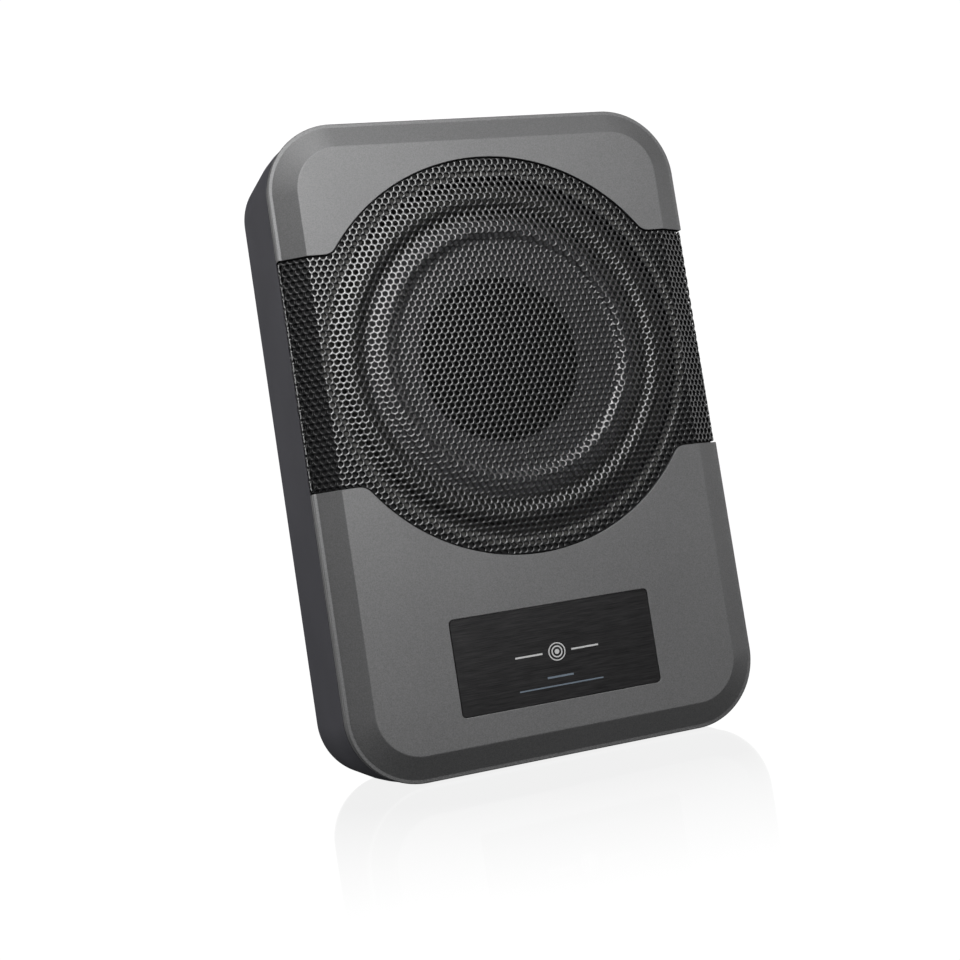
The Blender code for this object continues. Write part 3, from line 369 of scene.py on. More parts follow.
def fromBmesh(name, shape, finishNames, sharp=35.0):
    bmesh.ops.recalc_face_normals(shape, faces=shape.faces)
    mesh = bpy.data.meshes.new(name)
    shape.to_mesh(mesh)
    shape.free()
    mesh.shade_smooth()
    mesh.set_sharp_from_angle(angle=math.radians(sharp))
    return makeObject(name, mesh, finishNames)


# fold modifiers into the mesh
def settle(piece):
    depsgraph = bpy.context.evaluated_depsgraph_get()
    mesh = bpy.data.meshes.new_from_object(piece.evaluated_get(depsgraph))
    mesh.transform(piece.matrix_world)
    piece.modifiers.clear()
    piece.matrix_world = Matrix()
    piece.data = mesh
    return piece


def install(piece, slot, body, *nodes):
    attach(piece, body)
    if nodes:
        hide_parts(*nodes)
    return piece


def carve(piece, tool, operation="DIFFERENCE"):
    change = piece.modifiers.new(tool.name, "BOOLEAN")
    change.operation = operation
    change.object = tool
    change.solver = "EXACT"
    settle(piece)
    bpy.data.objects.remove(tool, do_unlink=True)
    return piece


def softenEdges(piece, width, segments=2, angle=50.0):
    edge = piece.modifiers.new("softEdges", "BEVEL")
    edge.width = width
    edge.segments = segments
    edge.limit_method = "ANGLE"
    edge.angle_limit = math.radians(angle)
    edge.harden_normals = False
    settle(piece)
    piece.data.shade_smooth()
    piece.data.set_sharp_from_angle(angle=math.radians(32))
    even = piece.modifiers.new("evenShading", "WEIGHTED_NORMAL")
    even.keep_sharp = True
    even.weight = 80
    return settle(piece)


def makeBox(name, low, high, finishNames=(), bevel=0.0):
    shape = bmesh.new()
    bmesh.ops.create_cube(shape, size=1.0)
    low = Vector(low)
    high = Vector(high)
    bmesh.ops.scale(shape, vec=high - low, verts=shape.verts)
    bmesh.ops.translate(shape, vec=(low + high) / 2, verts=shape.verts)
    if bevel > 0:
        bmesh.ops.bevel(shape, geom=shape.edges[:], offset=bevel, segments=3, profile=0.5,
                        affect="EDGES")
    return fromBmesh(name, shape, finishNames)


def makeRod(name, radius, start, end, finishNames=(), steps=48):
    start = Vector(start)
    end = Vector(end)
    along = end - start
    shape = bmesh.new()
    bmesh.ops.create_cone(shape, cap_ends=True, segments=steps, radius1=radius, radius2=radius,
                          depth=along.length)
    turn = along.to_track_quat("Z", "Y").to_matrix().to_4x4()
    bmesh.ops.transform(shape, matrix=Matrix.Translation((start + end) / 2) @ turn,
                        verts=shape.verts)
    return fromBmesh(name, shape, finishNames)


# spin (radius, height) about an axis through centre; height runs along outward
def makeTurned(name, profile, finishNames, centre, outward, steps=96, closed=True, sharp=35.0):
    centre = Vector(centre)
    turn = Vector(outward).to_track_quat("Z", "Y").to_matrix()
    shape = bmesh.new()
    rings = []
    for radius, height in profile:
        if radius < 1e-7:
            rings.append([shape.verts.new(centre + turn @ Vector((0, 0, height)))])
            continue
        ring = []
        for step in range(steps):
            angle = 2 * math.pi * step / steps
            spot = Vector((radius * math.cos(angle), radius * math.sin(angle), height))
            ring.append(shape.verts.new(centre + turn @ spot))
        rings.append(ring)
    pairs = list(zip(rings, rings[1:]))
    if closed:
        pairs.append((rings[-1], rings[0]))
    for first, second in pairs:
        for step in range(steps):
            after = (step + 1) % steps
            if len(first) == 1 and len(second) == 1:
                continue
            if len(first) == 1:
                shape.faces.new((first[0], second[after], second[step]))
            elif len(second) == 1:
                shape.faces.new((first[step], first[after], second[0]))
            else:
                shape.faces.new((first[step], first[after], second[after], second[step]))
    return fromBmesh(name, shape, finishNames, sharp)


housingLow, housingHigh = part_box("housing")
grilleLow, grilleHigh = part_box("grille")
coverLow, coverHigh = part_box("front_cover")
gasketLow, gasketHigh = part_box("cover_gasket")
badgeLow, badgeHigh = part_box("badge_plate")
panelLow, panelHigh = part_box("control_panel")

frontY = coverLow[1]
backY = housingHigh[1]
halfWide = coverHigh[0]
tall = coverHigh[2]
seamFront = gasketLow[1] - frontY - 0.0003      # depth where the cover's skirt ends
seamBack = housingLow[1] - frontY
driverZ = (grilleLow[2] + grilleHigh[2]) / 2
sideX = housingHigh[0]


def at(x, z, depth):
    return Vector((x, frontY + depth, z))


def roundedRing(width, height, radius, middleX, middleZ, steps):
    points = []
    for side, end, start in ((1, 1, 0), (-1, 1, 90), (-1, -1, 180), (1, -1, 270)):
        for step in range(steps + 1):
            angle = math.radians(start + 90 * step / steps)
            points.append((middleX + side * (width / 2 - radius) + radius * math.cos(angle),
                           middleZ + end * (height / 2 - radius) + radius * math.sin(angle)))
    return points


def bodyRing(inset, steps=26, corner=None):
    return roundedRing(2 * (halfWide - inset), tall - 2 * inset,
                       (corner or coverShape["corner"]) - inset, 0.0, tall / 2, steps)


def makeLoft(name, sections, finishNames=(), sharp=35.0):
    shape = bmesh.new()
    rings = [[shape.verts.new(at(x, z, depth)) for x, z in ring] for depth, ring in sections]
    for first, second in zip(rings, rings[1:]):
        count = len(first)
        for index in range(count):
            after = (index + 1) % count
            shape.faces.new((first[index], first[after], second[after], second[index]))
    shape.faces.new(rings[0])
    shape.faces.new(rings[-1])
    return fromBmesh(name, shape, finishNames, sharp)


coverShape = {"corner": 0.038, "faceInset": 0.0141, "rimInset": 0.0020, "chamferDepth": 0.0063,
              "thickness": 0.0050, "sideWall": 0.0050, "openingRadius": 0.1071, "bandHalf": 0.0605,
              "openingFillet": 0.008, "seatDepth": 0.0021, "seatInset": 0.0023,
              "driverHole": 0.0967, "edge": 0.00035}

# where paint stops: behind the skin by a depth, and further in than an edge
paintReach = {"skinSlack": 0.0002, "insideDepth": 0.0036, "insideEdge": 0.0030,
              "seatDepth": 0.0016, "seatEdge": 0.0018, "seatHalf": 0.112}


# circle joined to a full-width band
def openingRing(shrink, reach, arcSteps=72, filletSteps=10):
    radius = coverShape["openingRadius"] - shrink
    half = coverShape["bandHalf"] - shrink
    fillet = coverShape["openingFillet"] + shrink
    filletZ = half + fillet
    filletX = math.sqrt((radius + fillet) ** 2 - filletZ ** 2)
    junction = math.atan2(filletZ, filletX)
    quarter = [(reach, 0.0), (reach, half)]
    for step in range(filletSteps + 1):
        angle = -math.pi / 2 - (math.pi / 2 - junction) * step / filletSteps
        quarter.append((filletX + fillet * math.cos(angle), filletZ + fillet * math.sin(angle)))
    for step in range(1, arcSteps // 2 + 1):
        angle = junction + (math.pi / 2 - junction) * step / (arcSteps // 2)
        quarter.append((radius * math.cos(angle), radius * math.sin(angle)))
    upper = quarter + [(-x, z) for x, z in reversed(quarter[:-1])]
    whole = upper + [(-x, -z) for x, z in upper[1:-1]]
    return [(x, driverZ + z) for x, z in whole]


# inset and depth where a surface under the cover's front turns, and where it meets its side
def chamferOffset(offset, sideInset):
    run = coverShape["faceInset"] - coverShape["rimInset"]
    fall = coverShape["chamferDepth"]
    length = math.hypot(run, fall)
    lineInset = coverShape["faceInset"] + offset * fall / length
    lineDepth = offset * run / length
    turnInset = lineInset - (offset - lineDepth) * run / fall
    sideDepth = lineDepth + (lineInset - sideInset) * fall / run
    return (turnInset, offset), (sideInset, sideDepth)


def skinLoft(name, offset, sideInset, endDepth):
    (turnInset, turnDepth), (side, sideDepth) = chamferOffset(offset, sideInset)
    return makeLoft(name, [(turnDepth, bodyRing(turnInset)), (sideDepth, bodyRing(side)),
                           (endDepth, bodyRing(side))])


# (depth, inset) from the flat face round the chamfer, the rim and the skirt
def coverProfile():
    face = coverShape["faceInset"]
    rim = coverShape["rimInset"]
    fall = coverShape["chamferDepth"]
    slope = math.atan2(fall, face - rim)
    points = [(0.0, face + 0.00045)]
    points.append((0.00006, face + 0.00005))
    points.append((0.00022, face - 0.0004))
    points.append((fall - 0.00012, rim + 0.00012 / math.tan(slope)))
    points.append((fall, rim - 0.0001))
    points.append((fall + 0.00003, 0.0007))
    for step in range(1, 6):
        angle = math.pi / 2 * step / 5
        points.append((fall + 0.0007 * (1 - math.cos(angle)) + 0.00003,
                       0.0007 * (1 - math.sin(angle))))
    points.append((seamFront - 0.00025, 0.0))
    points.append((seamFront, 0.00025))
    return points


def makeCover():
    profile = coverProfile()
    cover = makeLoft("coverShell", [(depth, bodyRing(inset)) for depth, inset in profile],
                     ["cover", "moulded", "seat"])
    (turnInset, turnDepth), (side, sideDepth) = chamferOffset(coverShape["thickness"],
                                                             coverShape["sideWall"])
    carve(cover, makeLoft("coverCavity", [(turnDepth, bodyRing(turnInset)),
                                          (sideDepth, bodyRing(side)),
                                          (seamFront + 0.002, bodyRing(side))]))
    reach = halfWide + 0.005
    pocket = makeLoft("grillePocket", [(-0.005, openingRing(0.0, reach)),
                                       (seamFront + 0.003, openingRing(0.0, reach))])
    carve(pocket, skinLoft("grilleSeat", coverShape["seatDepth"], coverShape["seatInset"],
                           seamFront + 0.006))
    carve(cover, pocket)
    carve(cover, makeRod("driverHole", coverShape["driverHole"], at(0, driverZ, -0.005),
                         at(0, driverZ, 0.010), steps=128))
    gap = 0.0003
    width = badgeHigh[0] - badgeLow[0] + 2 * gap
    height = badgeHigh[2] - badgeLow[2] + 2 * gap
    badgeZ = (badgeHigh[2] + badgeLow[2]) / 2
    ring = roundedRing(width, height, 0.0023, 0.0, badgeZ, 8)
    carve(cover, makeLoft("badgePocket", [(-0.002, ring), (badgeHigh[1] - frontY + gap, ring)]))
    softenEdges(cover, coverShape["edge"])
    paintHidden(cover)
    return install(cover, "painted_cover", "enclosure", "front_cover")


# bare moulding inside, where paint doesn't reach, and painted shade on the seat under the grille
def paintHidden(cover):
    run = coverShape["faceInset"] - coverShape["rimInset"]
    for face in cover.data.polygons:
        spot = face.center
        depth = spot.y - frontY
        sideGap = edgeInset(spot.x, spot.z)
        skin = max(0.0, (coverShape["faceInset"] - sideGap) / run * coverShape["chamferDepth"])
        skin = min(skin, coverShape["chamferDepth"] + paintReach["skinSlack"])
        behind = depth > skin + paintReach["seatDepth"] and sideGap > paintReach["seatEdge"]
        if depth > skin + paintReach["insideDepth"] and sideGap > paintReach["insideEdge"]:
            face.material_index = 1
        # the seat under the grille takes the painted shade of seatFinish
        elif behind and abs(spot.z - driverZ) < paintReach["seatHalf"]:
            face.material_index = 2
        else:
            face.material_index = 0


# distance in from the enclosure's outline
def edgeInset(x, z):
    radius = coverShape["corner"]
    dx = abs(x) - (halfWide - radius)
    dz = abs(z - tall / 2) - (tall / 2 - radius)
    if dx > 0 and dz > 0:
        return radius - math.hypot(dx, dz)
    return radius - max(dx, dz)


grilleShape = {"recess": 0.0008, "gap": 0.0008, "sideInset": 0.0002, "sheet": 0.0010,
               "pitch": 0.00354, "hole": 0.00123, "lip": 0.00017, "tilt": -0.9, "holeSides": 12,
               "foldRadius": 0.0012, "rimSpacing": 0.0012, "rowReach": 0.14, "columns": 44,
               "edgeTop": 0.00006, "edgeFoot": 0.00022,
               "relief": [(0.0, -0.90), (60.4, -0.90), (62.4, -0.76), (65.9, 0.42), (67.4, 0.56),
                          (70.0, 0.38), (77.3, -0.36), (78.4, -0.34), (85.0, 0.44), (86.4, 0.50),
                          (97.6, -0.28), (101.6, 0.0), (200.0, 0.0)]}


# millimetres proud of the rim, eased between the pressed rings
def reliefHeight(radius):
    points = grilleShape["relief"]
    where = radius * 1000
    for (start, low), (end, high) in zip(points, points[1:]):
        if where <= end:
            share = (where - start) / (end - start)
            return low + (high - low) * share * share * (3 - 2 * share)
    return points[-1][1]


# sheet's half section as runs of (length, heading at start, heading at end)
def foldTrack():
    (turnInset, turnDepth), (side, sideDepth) = chamferOffset(grilleShape["recess"],
                                                             grilleShape["sideInset"])
    slope = math.atan2(sideDepth - turnDepth, turnInset - side)
    bend = grilleShape["foldRadius"]
    first = bend * math.tan(slope / 2)
    second = bend * math.tan((math.pi / 2 - slope) / 2)
    ramp = math.hypot(turnInset - side, sideDepth - turnDepth)
    end = grilleHigh[1] - frontY
    return [(halfWide - turnInset - first, 0.0, 0.0), (bend * slope, 0.0, slope),
            (ramp - first - second, slope, slope),
            (bend * (math.pi / 2 - slope), slope, math.pi / 2),
            (end - sideDepth - second, math.pi / 2, math.pi / 2)]


# a point of the formed sheet: u along its width, v up, under is how far below its face
def sheetPoint(track, u, v, under):
    side = -1.0 if u < 0 else 1.0
    left = abs(u)
    x = 0.0
    depth = 0.0
    heading = 0.0
    for length, start, end in track:
        step = min(left, length)
        if abs(end - start) < 1e-9:
            x += step * math.cos(start)
            depth += step * math.sin(start)
            heading = start
        else:
            radius = length / (end - start)
            heading = start + step / radius
            x += radius * (math.sin(heading) - math.sin(start))
            depth += radius * (math.cos(start) - math.cos(heading))
        left -= step
        if left <= 0:
            break
    base = at(side * x, v, grilleShape["recess"] + depth)
    outward = Vector((side * math.sin(heading), -math.cos(heading), 0.0))
    reach = math.hypot(u, v - driverZ)
    if reach < 0.102:
        near = reliefHeight(reach) / 1000
        slope = (reliefHeight(reach + 0.0002) - reliefHeight(reach - 0.0002)) / 0.4
        if reach > 1e-5:
            lean = Vector((u / reach, 0.0, (v - driverZ) / reach)) * -slope
            outward = (outward + lean).normalized()
        base.y -= near
    return base - outward * under


def makeGrille():
    track = foldTrack()
    reach = sum(run[0] for run in track)
    pitch = grilleShape["pitch"]
    row = pitch * math.sqrt(3) / 2
    tilt = math.radians(grilleShape["tilt"])
    sides = grilleShape["holeSides"]
    mouth = grilleShape["hole"] + grilleShape["lip"]
    rim = evenRing(openingRing(grilleShape["gap"], reach, 160, 12), grilleShape["rimSpacing"])
    spots = [point.copy() for point in rim]
    edges = [(index, (index + 1) % len(rim)) for index in range(len(rim))]
    owner = [-1] * len(rim)
    holes = []
    lines = int(grilleShape["rowReach"] / row)
    columns = grilleShape["columns"]
    for line in range(-lines, lines + 1):
        for step in range(-columns, columns + 1):
            u = (step + 0.5 * (line % 2)) * pitch
            v = line * row
            spot = Vector((u * math.cos(tilt) - v * math.sin(tilt),
                           driverZ + u * math.sin(tilt) + v * math.cos(tilt)))
            if nearRing(spot, rim, mouth):
                holes.append(spot)
    for number, spot in enumerate(holes):
        start = len(spots)
        for side in range(sides):
            angle = 2 * math.pi * (side + 0.5) / sides + tilt
            spots.append(spot + Vector((math.cos(angle), math.sin(angle))) * mouth)
            owner.append(number)
            edges.append((start + side, start + (side + 1) % sides))
        for turn in (30, 90):
            angle = math.radians(turn) + tilt
            spots.append(spot + Vector((math.cos(angle), math.sin(angle))) * pitch / math.sqrt(3))
            owner.append(-1)
    top = max(point.y for point in rim) + 0.001
    bottom = min(point.y for point in rim) - 0.001
    edges.append((len(spots), len(spots) + 1))     # the middle, where the two halves meet
    spots += [Vector((0.0, bottom)), Vector((0.0, top))]
    owner += [-1, -1]
    scaled = [point * 1000 for point in spots]
    flat, _, faces, origins, _, _ = geometry.delaunay_2d_cdt(scaled, edges, [], 0, 1e-5)
    flat = [point / 1000 for point in flat]
    tree = kdtree.KDTree(len(holes))
    for number, spot in enumerate(holes):
        tree.insert((*spot, 0.0), number)
    tree.balance()
    rimTest = [tuple(point) for point in rim]
    clear = mouth * math.cos(math.pi / sides)
    halves = {-1: [], 1: []}
    for triangle in faces:
        middle = sum((flat[corner] for corner in triangle), Vector((0.0, 0.0))) / 3
        if tree.find((*middle, 0.0))[2] > clear and insideRing(middle, rimTest):
            halves[-1 if middle.x < 0 else 1].append(triangle)
    ringOf = []
    for source in origins:
        numbers = {owner[index] for index in source if owner[index] >= 0}
        ringOf.append(numbers.pop() if len(numbers) == 1 and len(source) == 1 else -1)
    for half, title in ((-1, "grilleSheetLeft"), (1, "grilleSheetRight")):
        sheet = formSheet(title, track, flat, halves[half], ringOf, holes)
        install(sheet, "black_grille", "enclosure", "grille")
    print("grille holes", len(holes), "triangles", len(halves[1]) + len(halves[-1]))


# one half of the sheet: its face, rounded hole edges, bores, back and outer edges
def formSheet(title, track, flat, faces, ringOf, holes):
    used = {corner for triangle in faces for corner in triangle}
    borders = set()
    for triangle in faces:
        for start, end in zip(triangle, triangle[1:] + triangle[:1]):
            if (end, start) in borders:
                borders.discard((end, start))
            else:
                borders.add((start, end))
    bordering = {corner for edge in borders for corner in edge}
    shrink = grilleShape["hole"] / (grilleShape["hole"] + grilleShape["lip"])
    top = grilleShape["edgeTop"]
    foot = grilleShape["edgeFoot"]
    shape = bmesh.new()
    layers = [{}, {}, {}, {}]
    for corner in used:
        spot = flat[corner]
        if ringOf[corner] >= 0 and corner in bordering:
            centre = holes[ringOf[corner]]
            steps = [(1.0, 0.0), ((1 + 2 * shrink) / 3, top), (shrink, foot),
                     (shrink, grilleShape["sheet"])]
        else:
            centre = spot
            steps = [(1.0, 0.0), (1.0, top), (1.0, foot), (1.0, grilleShape["sheet"])]
        for layer, (pull, under) in enumerate(steps):
            if layer in (1, 2) and corner not in bordering:
                continue
            where = centre + (spot - centre) * pull
            layers[layer][corner] = shape.verts.new(sheetPoint(track, where.x, where.y, under))
    for triangle in faces:
        shape.faces.new([layers[0][corner] for corner in triangle])
        shape.faces.new([layers[3][corner] for corner in reversed(triangle)])
    for start, end in borders:
        folded = ringOf[start] < 0 and abs(flat[start].x) > halfWide
        for upper, lower in zip(layers, layers[1:]):
            face = shape.faces.new((upper[end], upper[start], lower[start], lower[end]))
            face.material_index = 1 if folded else 0
    return fromBmesh(title, shape, ["grille", "moulded"], 60.0)


# true inside the outline, or no further outside it than a clearance
def nearRing(spot, ring, clearance):
    if insideRing(spot, ring):
        return True
    return min((spot - point).length for point in ring) < clearance


# the same outline with points at most a spacing apart
def evenRing(ring, spacing):
    points = []
    for start, end in zip(ring, ring[1:] + ring[:1]):
        start = Vector(start)
        end = Vector(end)
        parts = max(1, math.ceil((end - start).length / spacing))
        for part in range(parts):
            points.append(start.lerp(end, part / parts))
    return points


def insideRing(spot, ring):
    inside = False
    for first, second in zip(ring, ring[1:] + ring[:1]):
        if (first[1] > spot[1]) != (second[1] > spot[1]):
            share = (spot[1] - first[1]) / (second[1] - first[1])
            if spot[0] < first[0] + share * (second[0] - first[0]):
                inside = not inside
    return inside


badgeShape = {"radius": 0.0020, "edge": 0.00018, "inkThickness": 0.00003, "markLift": 0.0002,
              "rings": ((0.0, 0.0013), (0.0024, 0.0031), (0.0042, 0.0048)),
              "rules": (("badgeRuleLeft", -0.0235, -0.0082, -0.0002, 0.0009, "whiteInk"),
                        ("badgeRuleRight", 0.0082, 0.0235, -0.0002, 0.0009, "whiteInk"),
                        ("badgeRuleShort", -0.0074, 0.0074, 0.0127, 0.0010, "greyInk"),
                        ("badgeRuleLong", -0.0237, 0.0237, 0.0173, 0.0007, "greyInk"))}


def makeBadge():
    width = badgeHigh[0] - badgeLow[0]
    height = badgeHigh[2] - badgeLow[2]
    middle = (badgeHigh[2] + badgeLow[2]) / 2
    front = badgeLow[1] - frontY
    back = badgeHigh[1] - frontY
    edge = badgeShape["edge"]
    outer = roundedRing(width, height, badgeShape["radius"], 0.0, middle, 10)
    inner = roundedRing(width - 2 * edge, height - 2 * edge, badgeShape["radius"] - edge, 0.0,
                        middle, 10)
    plate = makeLoft("badgePlate", [(front, inner), (front + edge, outer), (back, outer)],
                     ["badge"])
    install(plate, "badge", "enclosure", "badge_plate")
    front -= badgeShape["inkThickness"]
    ink = inkDiscs("badgeMark", front, middle + badgeShape["markLift"])
    install(ink, "badge", "enclosure")
    for name, start, end, below, thick, finishName in badgeShape["rules"]:
        rule = makeBox(name, at(start, middle - below - thick / 2, front),
                       at(end, middle - below + thick / 2, front + badgeShape["inkThickness"]),
                       [finishName])
        install(rule, "badge", "enclosure")


# a plain mark: a dot inside two rings
def inkDiscs(name, front, middle):
    shape = bmesh.new()
    for inner, outer in badgeShape["rings"]:
        steps = 64
        rings = []
        for radius in (inner, outer):
            ring = []
            for step in range(steps):
                angle = 2 * math.pi * step / steps
                ring.append((radius * math.cos(angle), middle + radius * math.sin(angle)))
            rings.append(ring)
        addFlatRing(shape, rings, front, inner > 0)
    return fromBmesh(name, shape, ["whiteInk"])


def addFlatRing(shape, rings, front, hollow):
    depth = front + badgeShape["inkThickness"]
    inner, outer = rings
    low = [shape.verts.new(at(x, z, front)) for x, z in outer]
    deep = [shape.verts.new(at(x, z, depth)) for x, z in outer]
    count = len(outer)
    if hollow:
        lowIn = [shape.verts.new(at(x, z, front)) for x, z in inner]
        deepIn = [shape.verts.new(at(x, z, depth)) for x, z in inner]
    else:
        shape.faces.new(low)
        shape.faces.new(deep[::-1])
    for step in range(count):
        after = (step + 1) % count
        shape.faces.new((low[step], low[after], deep[after], deep[step]))
        if hollow:
            shape.faces.new((low[step], low[after], lowIn[after], lowIn[step]))
            shape.faces.new((deep[step], deep[after], deepIn[after], deepIn[step]))
            shape.faces.new((lowIn[step], lowIn[after], deepIn[after], deepIn[step]))


# corners: how far behind the seam, and the corner radius there
housingShape = {"corners": ((0.006, 0.0364), (0.014, 0.0344), (0.026, 0.0330)),
                "wall": 0.0030, "back": 0.0040, "frontEdge": 0.0003, "backEdge": 0.0012,
                "wellWall": 0.0025, "wellLength": 0.0165, "ribs": 9, "ribPitch": 0.014,
                "ribWidth": 0.003, "ribDepth": 0.0015, "ribBottom": 0.022, "ribTop": 0.102,
                "tunnelRadius": 0.0046, "bossRadius": 0.0070, "bracketRadius": 0.0021,
                "bracketBoss": 0.0055, "bracketX": 0.090, "bracketEnd": 0.060,
                "bracketDepth": 0.010}


def screwSpots():
    spots = []
    for index in range(1, 7):
        low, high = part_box(f"cover_screw_{index}")
        spots.append(((low[0] + high[0]) / 2, (low[2] + high[2]) / 2, high[1] - frontY))
    return spots


def makeHousing():
    total = backY - frontY
    edge = housingShape["backEdge"]
    sections = [(seamBack, bodyRing(housingShape["frontEdge"])),
                (seamBack + housingShape["frontEdge"], bodyRing(0.0))]
    for back, corner in housingShape["corners"]:
        sections.append((seamBack + back, bodyRing(0.0, corner=corner)))
    corner = housingShape["corners"][-1][1]
    for step in range(5):
        angle = math.pi / 2 * step / 4
        sections.append((total - edge + edge * math.sin(angle),
                         bodyRing(edge * (1 - math.cos(angle)), corner=corner)))
    housing = makeLoft("housingCasting", sections, ["casting"])
    inner = total - housingShape["back"]
    cavity = bodyRing(housingShape["wall"])
    carve(housing, makeLoft("housingCavity", [(seamBack - 0.002, cavity), (inner, cavity)]))
    for x, z, headBack in screwSpots():
        carve(housing, makeRod("tunnelBoss", housingShape["bossRadius"],
                               at(x, z, headBack - 0.009), at(x, z, inner + 0.001)), "UNION")
        carve(housing, makeRod("tunnel", housingShape["tunnelRadius"], at(x, z, headBack - 0.0025),
                               at(x, z, total + 0.002)))
    for side in (-1, 1):
        for z in (housingShape["bracketEnd"], tall - housingShape["bracketEnd"]):
            x = side * housingShape["bracketX"]
            carve(housing, makeRod("bracketBoss", housingShape["bracketBoss"],
                                   at(x, z, inner - 0.008), at(x, z, inner + 0.001)), "UNION")
            carve(housing, makeRod("bracketHole", housingShape["bracketRadius"],
                                   at(x, z, total - housingShape["bracketDepth"]),
                                   at(x, z, total + 0.002)))
    carvePanelWell(housing)
    half = (housingShape["ribs"] - 1) / 2
    for index in range(housingShape["ribs"]):
        x = (index - half) * housingShape["ribPitch"]
        width = housingShape["ribWidth"]
        carve(housing, makeBox("ribGroove",
                               at(x - width / 2, housingShape["ribBottom"],
                                  total - housingShape["ribDepth"]),
                               at(x + width / 2, housingShape["ribTop"], total + 0.002)))
    softenEdges(housing, 0.0004)
    return install(housing, "casting", "enclosure", "housing")


# a round-cornered prism along X around the control panel
def wellBox(name, grow, inner, outer, steps=8):
    gap = 0.0003
    middleY = (panelLow[1] + panelHigh[1]) / 2
    middleZ = (panelLow[2] + panelHigh[2]) / 2
    wide = panelHigh[1] - panelLow[1] + 2 * gap + 2 * grow
    length = panelHigh[2] - panelLow[2] + 2 * gap + 2 * grow
    ring = roundedRing(wide, length, 0.0008 + max(grow, 0.0), middleY, middleZ, steps)
    shape = bmesh.new()
    near = [shape.verts.new((inner, y, z)) for y, z in ring]
    far = [shape.verts.new((outer, y, z)) for y, z in ring]
    count = len(ring)
    for index in range(count):
        after = (index + 1) % count
        shape.faces.new((near[index], near[after], far[after], far[index]))
    shape.faces.new(near)
    shape.faces.new(far)
    return fromBmesh(name, shape, [])


def carvePanelWell(housing):
    innerX = sideX - housingShape["wellLength"]
    carve(housing, wellBox("wellBlock", housingShape["wellWall"], innerX, sideX - 0.0015), "UNION")
    carve(housing, wellBox("wellMouth", 0.0, panelLow[0] - 0.0003, sideX + 0.005))
    carve(housing, wellBox("wellThroat", -0.0095, innerX - 0.002, sideX - 0.005))


def depthRange(node):
    low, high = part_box(node)
    return low[1] - frontY, high[1] - frontY


def driverTurned(name, profile, finishName, steps=120, closed=True):
    heights = [(radius, -depth) for radius, depth in profile]
    return makeTurned(name, heights, [finishName], at(0, driverZ, 0.0), (0, -1, 0), steps, closed,
                      60.0)


driverShape = {"rollMiddle": 0.0852, "rollRadius": 0.0054, "rubber": 0.0007, "edgeRadius": 0.0796,
               "lip": 0.0033, "paper": 0.0009, "neck": 0.0200, "coneCurve": 2.4, "capRise": 0.0059,
               "capRadius": 0.0448, "spiderOuter": 0.0603, "spiderLand": 0.0532, "spiderWaves": 6,
               "spiderRise": 0.0014, "spiderCloth": 0.0005, "spiderWave": 0.0011,
               "spiderWaveLoss": 0.0003, "wedges": 24, "wedgeSteps": 5}


# a closed wedge of a turned profile
def makeWedge(name, profile, finishName, start, sweep, steps):
    shape = bmesh.new()
    rings = []
    for step in range(steps + 1):
        angle = start + sweep * step / steps
        rings.append([shape.verts.new(at(radius * math.cos(angle),
                                         driverZ + radius * math.sin(angle), depth))
                      for radius, depth in profile])
    count = len(profile)
    for first, second in zip(rings, rings[1:]):
        for index in range(count):
            after = (index + 1) % count
            shape.faces.new((first[index], first[after], second[after], second[index]))
    shape.faces.new(rings[0][::-1])
    shape.faces.new(rings[-1])
    return fromBmesh(name, shape, [finishName], 60.0)


# the turned profile as a ring of closed wedges, in place of the node
def makeFlexing(title, profile, finishName, node, outer, inner):
    count = driverShape["wedges"]
    sweep = 2 * math.pi / count
    for index in range(count):
        wedge = makeWedge(f"{title}{index + 1:02d}", profile, finishName, index * sweep, sweep,
                          driverShape["wedgeSteps"])
        aim = (index + 0.5) * sweep
        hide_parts(node)
        at(outer * math.cos(aim), driverZ + outer * math.sin(aim), 0.02)
        at(inner * math.cos(aim), driverZ + inner * math.sin(aim), 0.02)
        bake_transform(wedge)


# braided leads: the node's mesh copied, in copper
def makeLead(node, title):
    piece = bpy.data.objects.new(title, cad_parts[node].data.copy())
    bpy.context.scene.collection.objects.link(piece)
    piece.data.materials.clear()
    piece.data.materials.append(finishes["copper"].material)
    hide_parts(node)
    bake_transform(piece)


def makeSurround():
    back = depthRange("surround")[1]
    front = back - driverShape["rubber"]
    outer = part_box("surround")[1][0]
    inner = driverShape["edgeRadius"] - driverShape["lip"]
    steps = 24

    def roll(radius, depth):
        return [(driverShape["rollMiddle"] + radius * math.cos(math.pi * step / steps),
                 depth - radius * math.sin(math.pi * step / steps)) for step in range(steps + 1)]

    low = roll(driverShape["rollRadius"] - driverShape["rubber"] / 2, back)
    high = roll(driverShape["rollRadius"] + driverShape["rubber"] / 2, front)
    profile = [(outer, front), (outer, back)] + low + [(inner, back), (inner, front)] + high[::-1]
    makeFlexing("surroundWedge", profile, "rubber", "surround",
                driverShape["rollMiddle"] + driverShape["rollRadius"], driverShape["edgeRadius"])


def coneLine(steps=28):
    front, back = depthRange("cone")
    start = driverShape["edgeRadius"] - driverShape["lip"]
    end = driverShape["neck"]
    neckDepth = back - driverShape["paper"]
    points = [(driverShape["edgeRadius"], front), (start, front)]
    for step in range(1, steps + 1):
        share = step / steps
        points.append((start + (end - start) * share,
                       front + (neckDepth - front) * share ** driverShape["coneCurve"]))
    return points


def makeCone():
    line = coneLine()
    back = [(radius, depth + driverShape["paper"]) for radius, depth in line]
    cone = driverTurned("coneBody", [line[0]] + back + line[:0:-1], "paper")
    return install(cone, "cone_paper", "diaphragm", "cone")


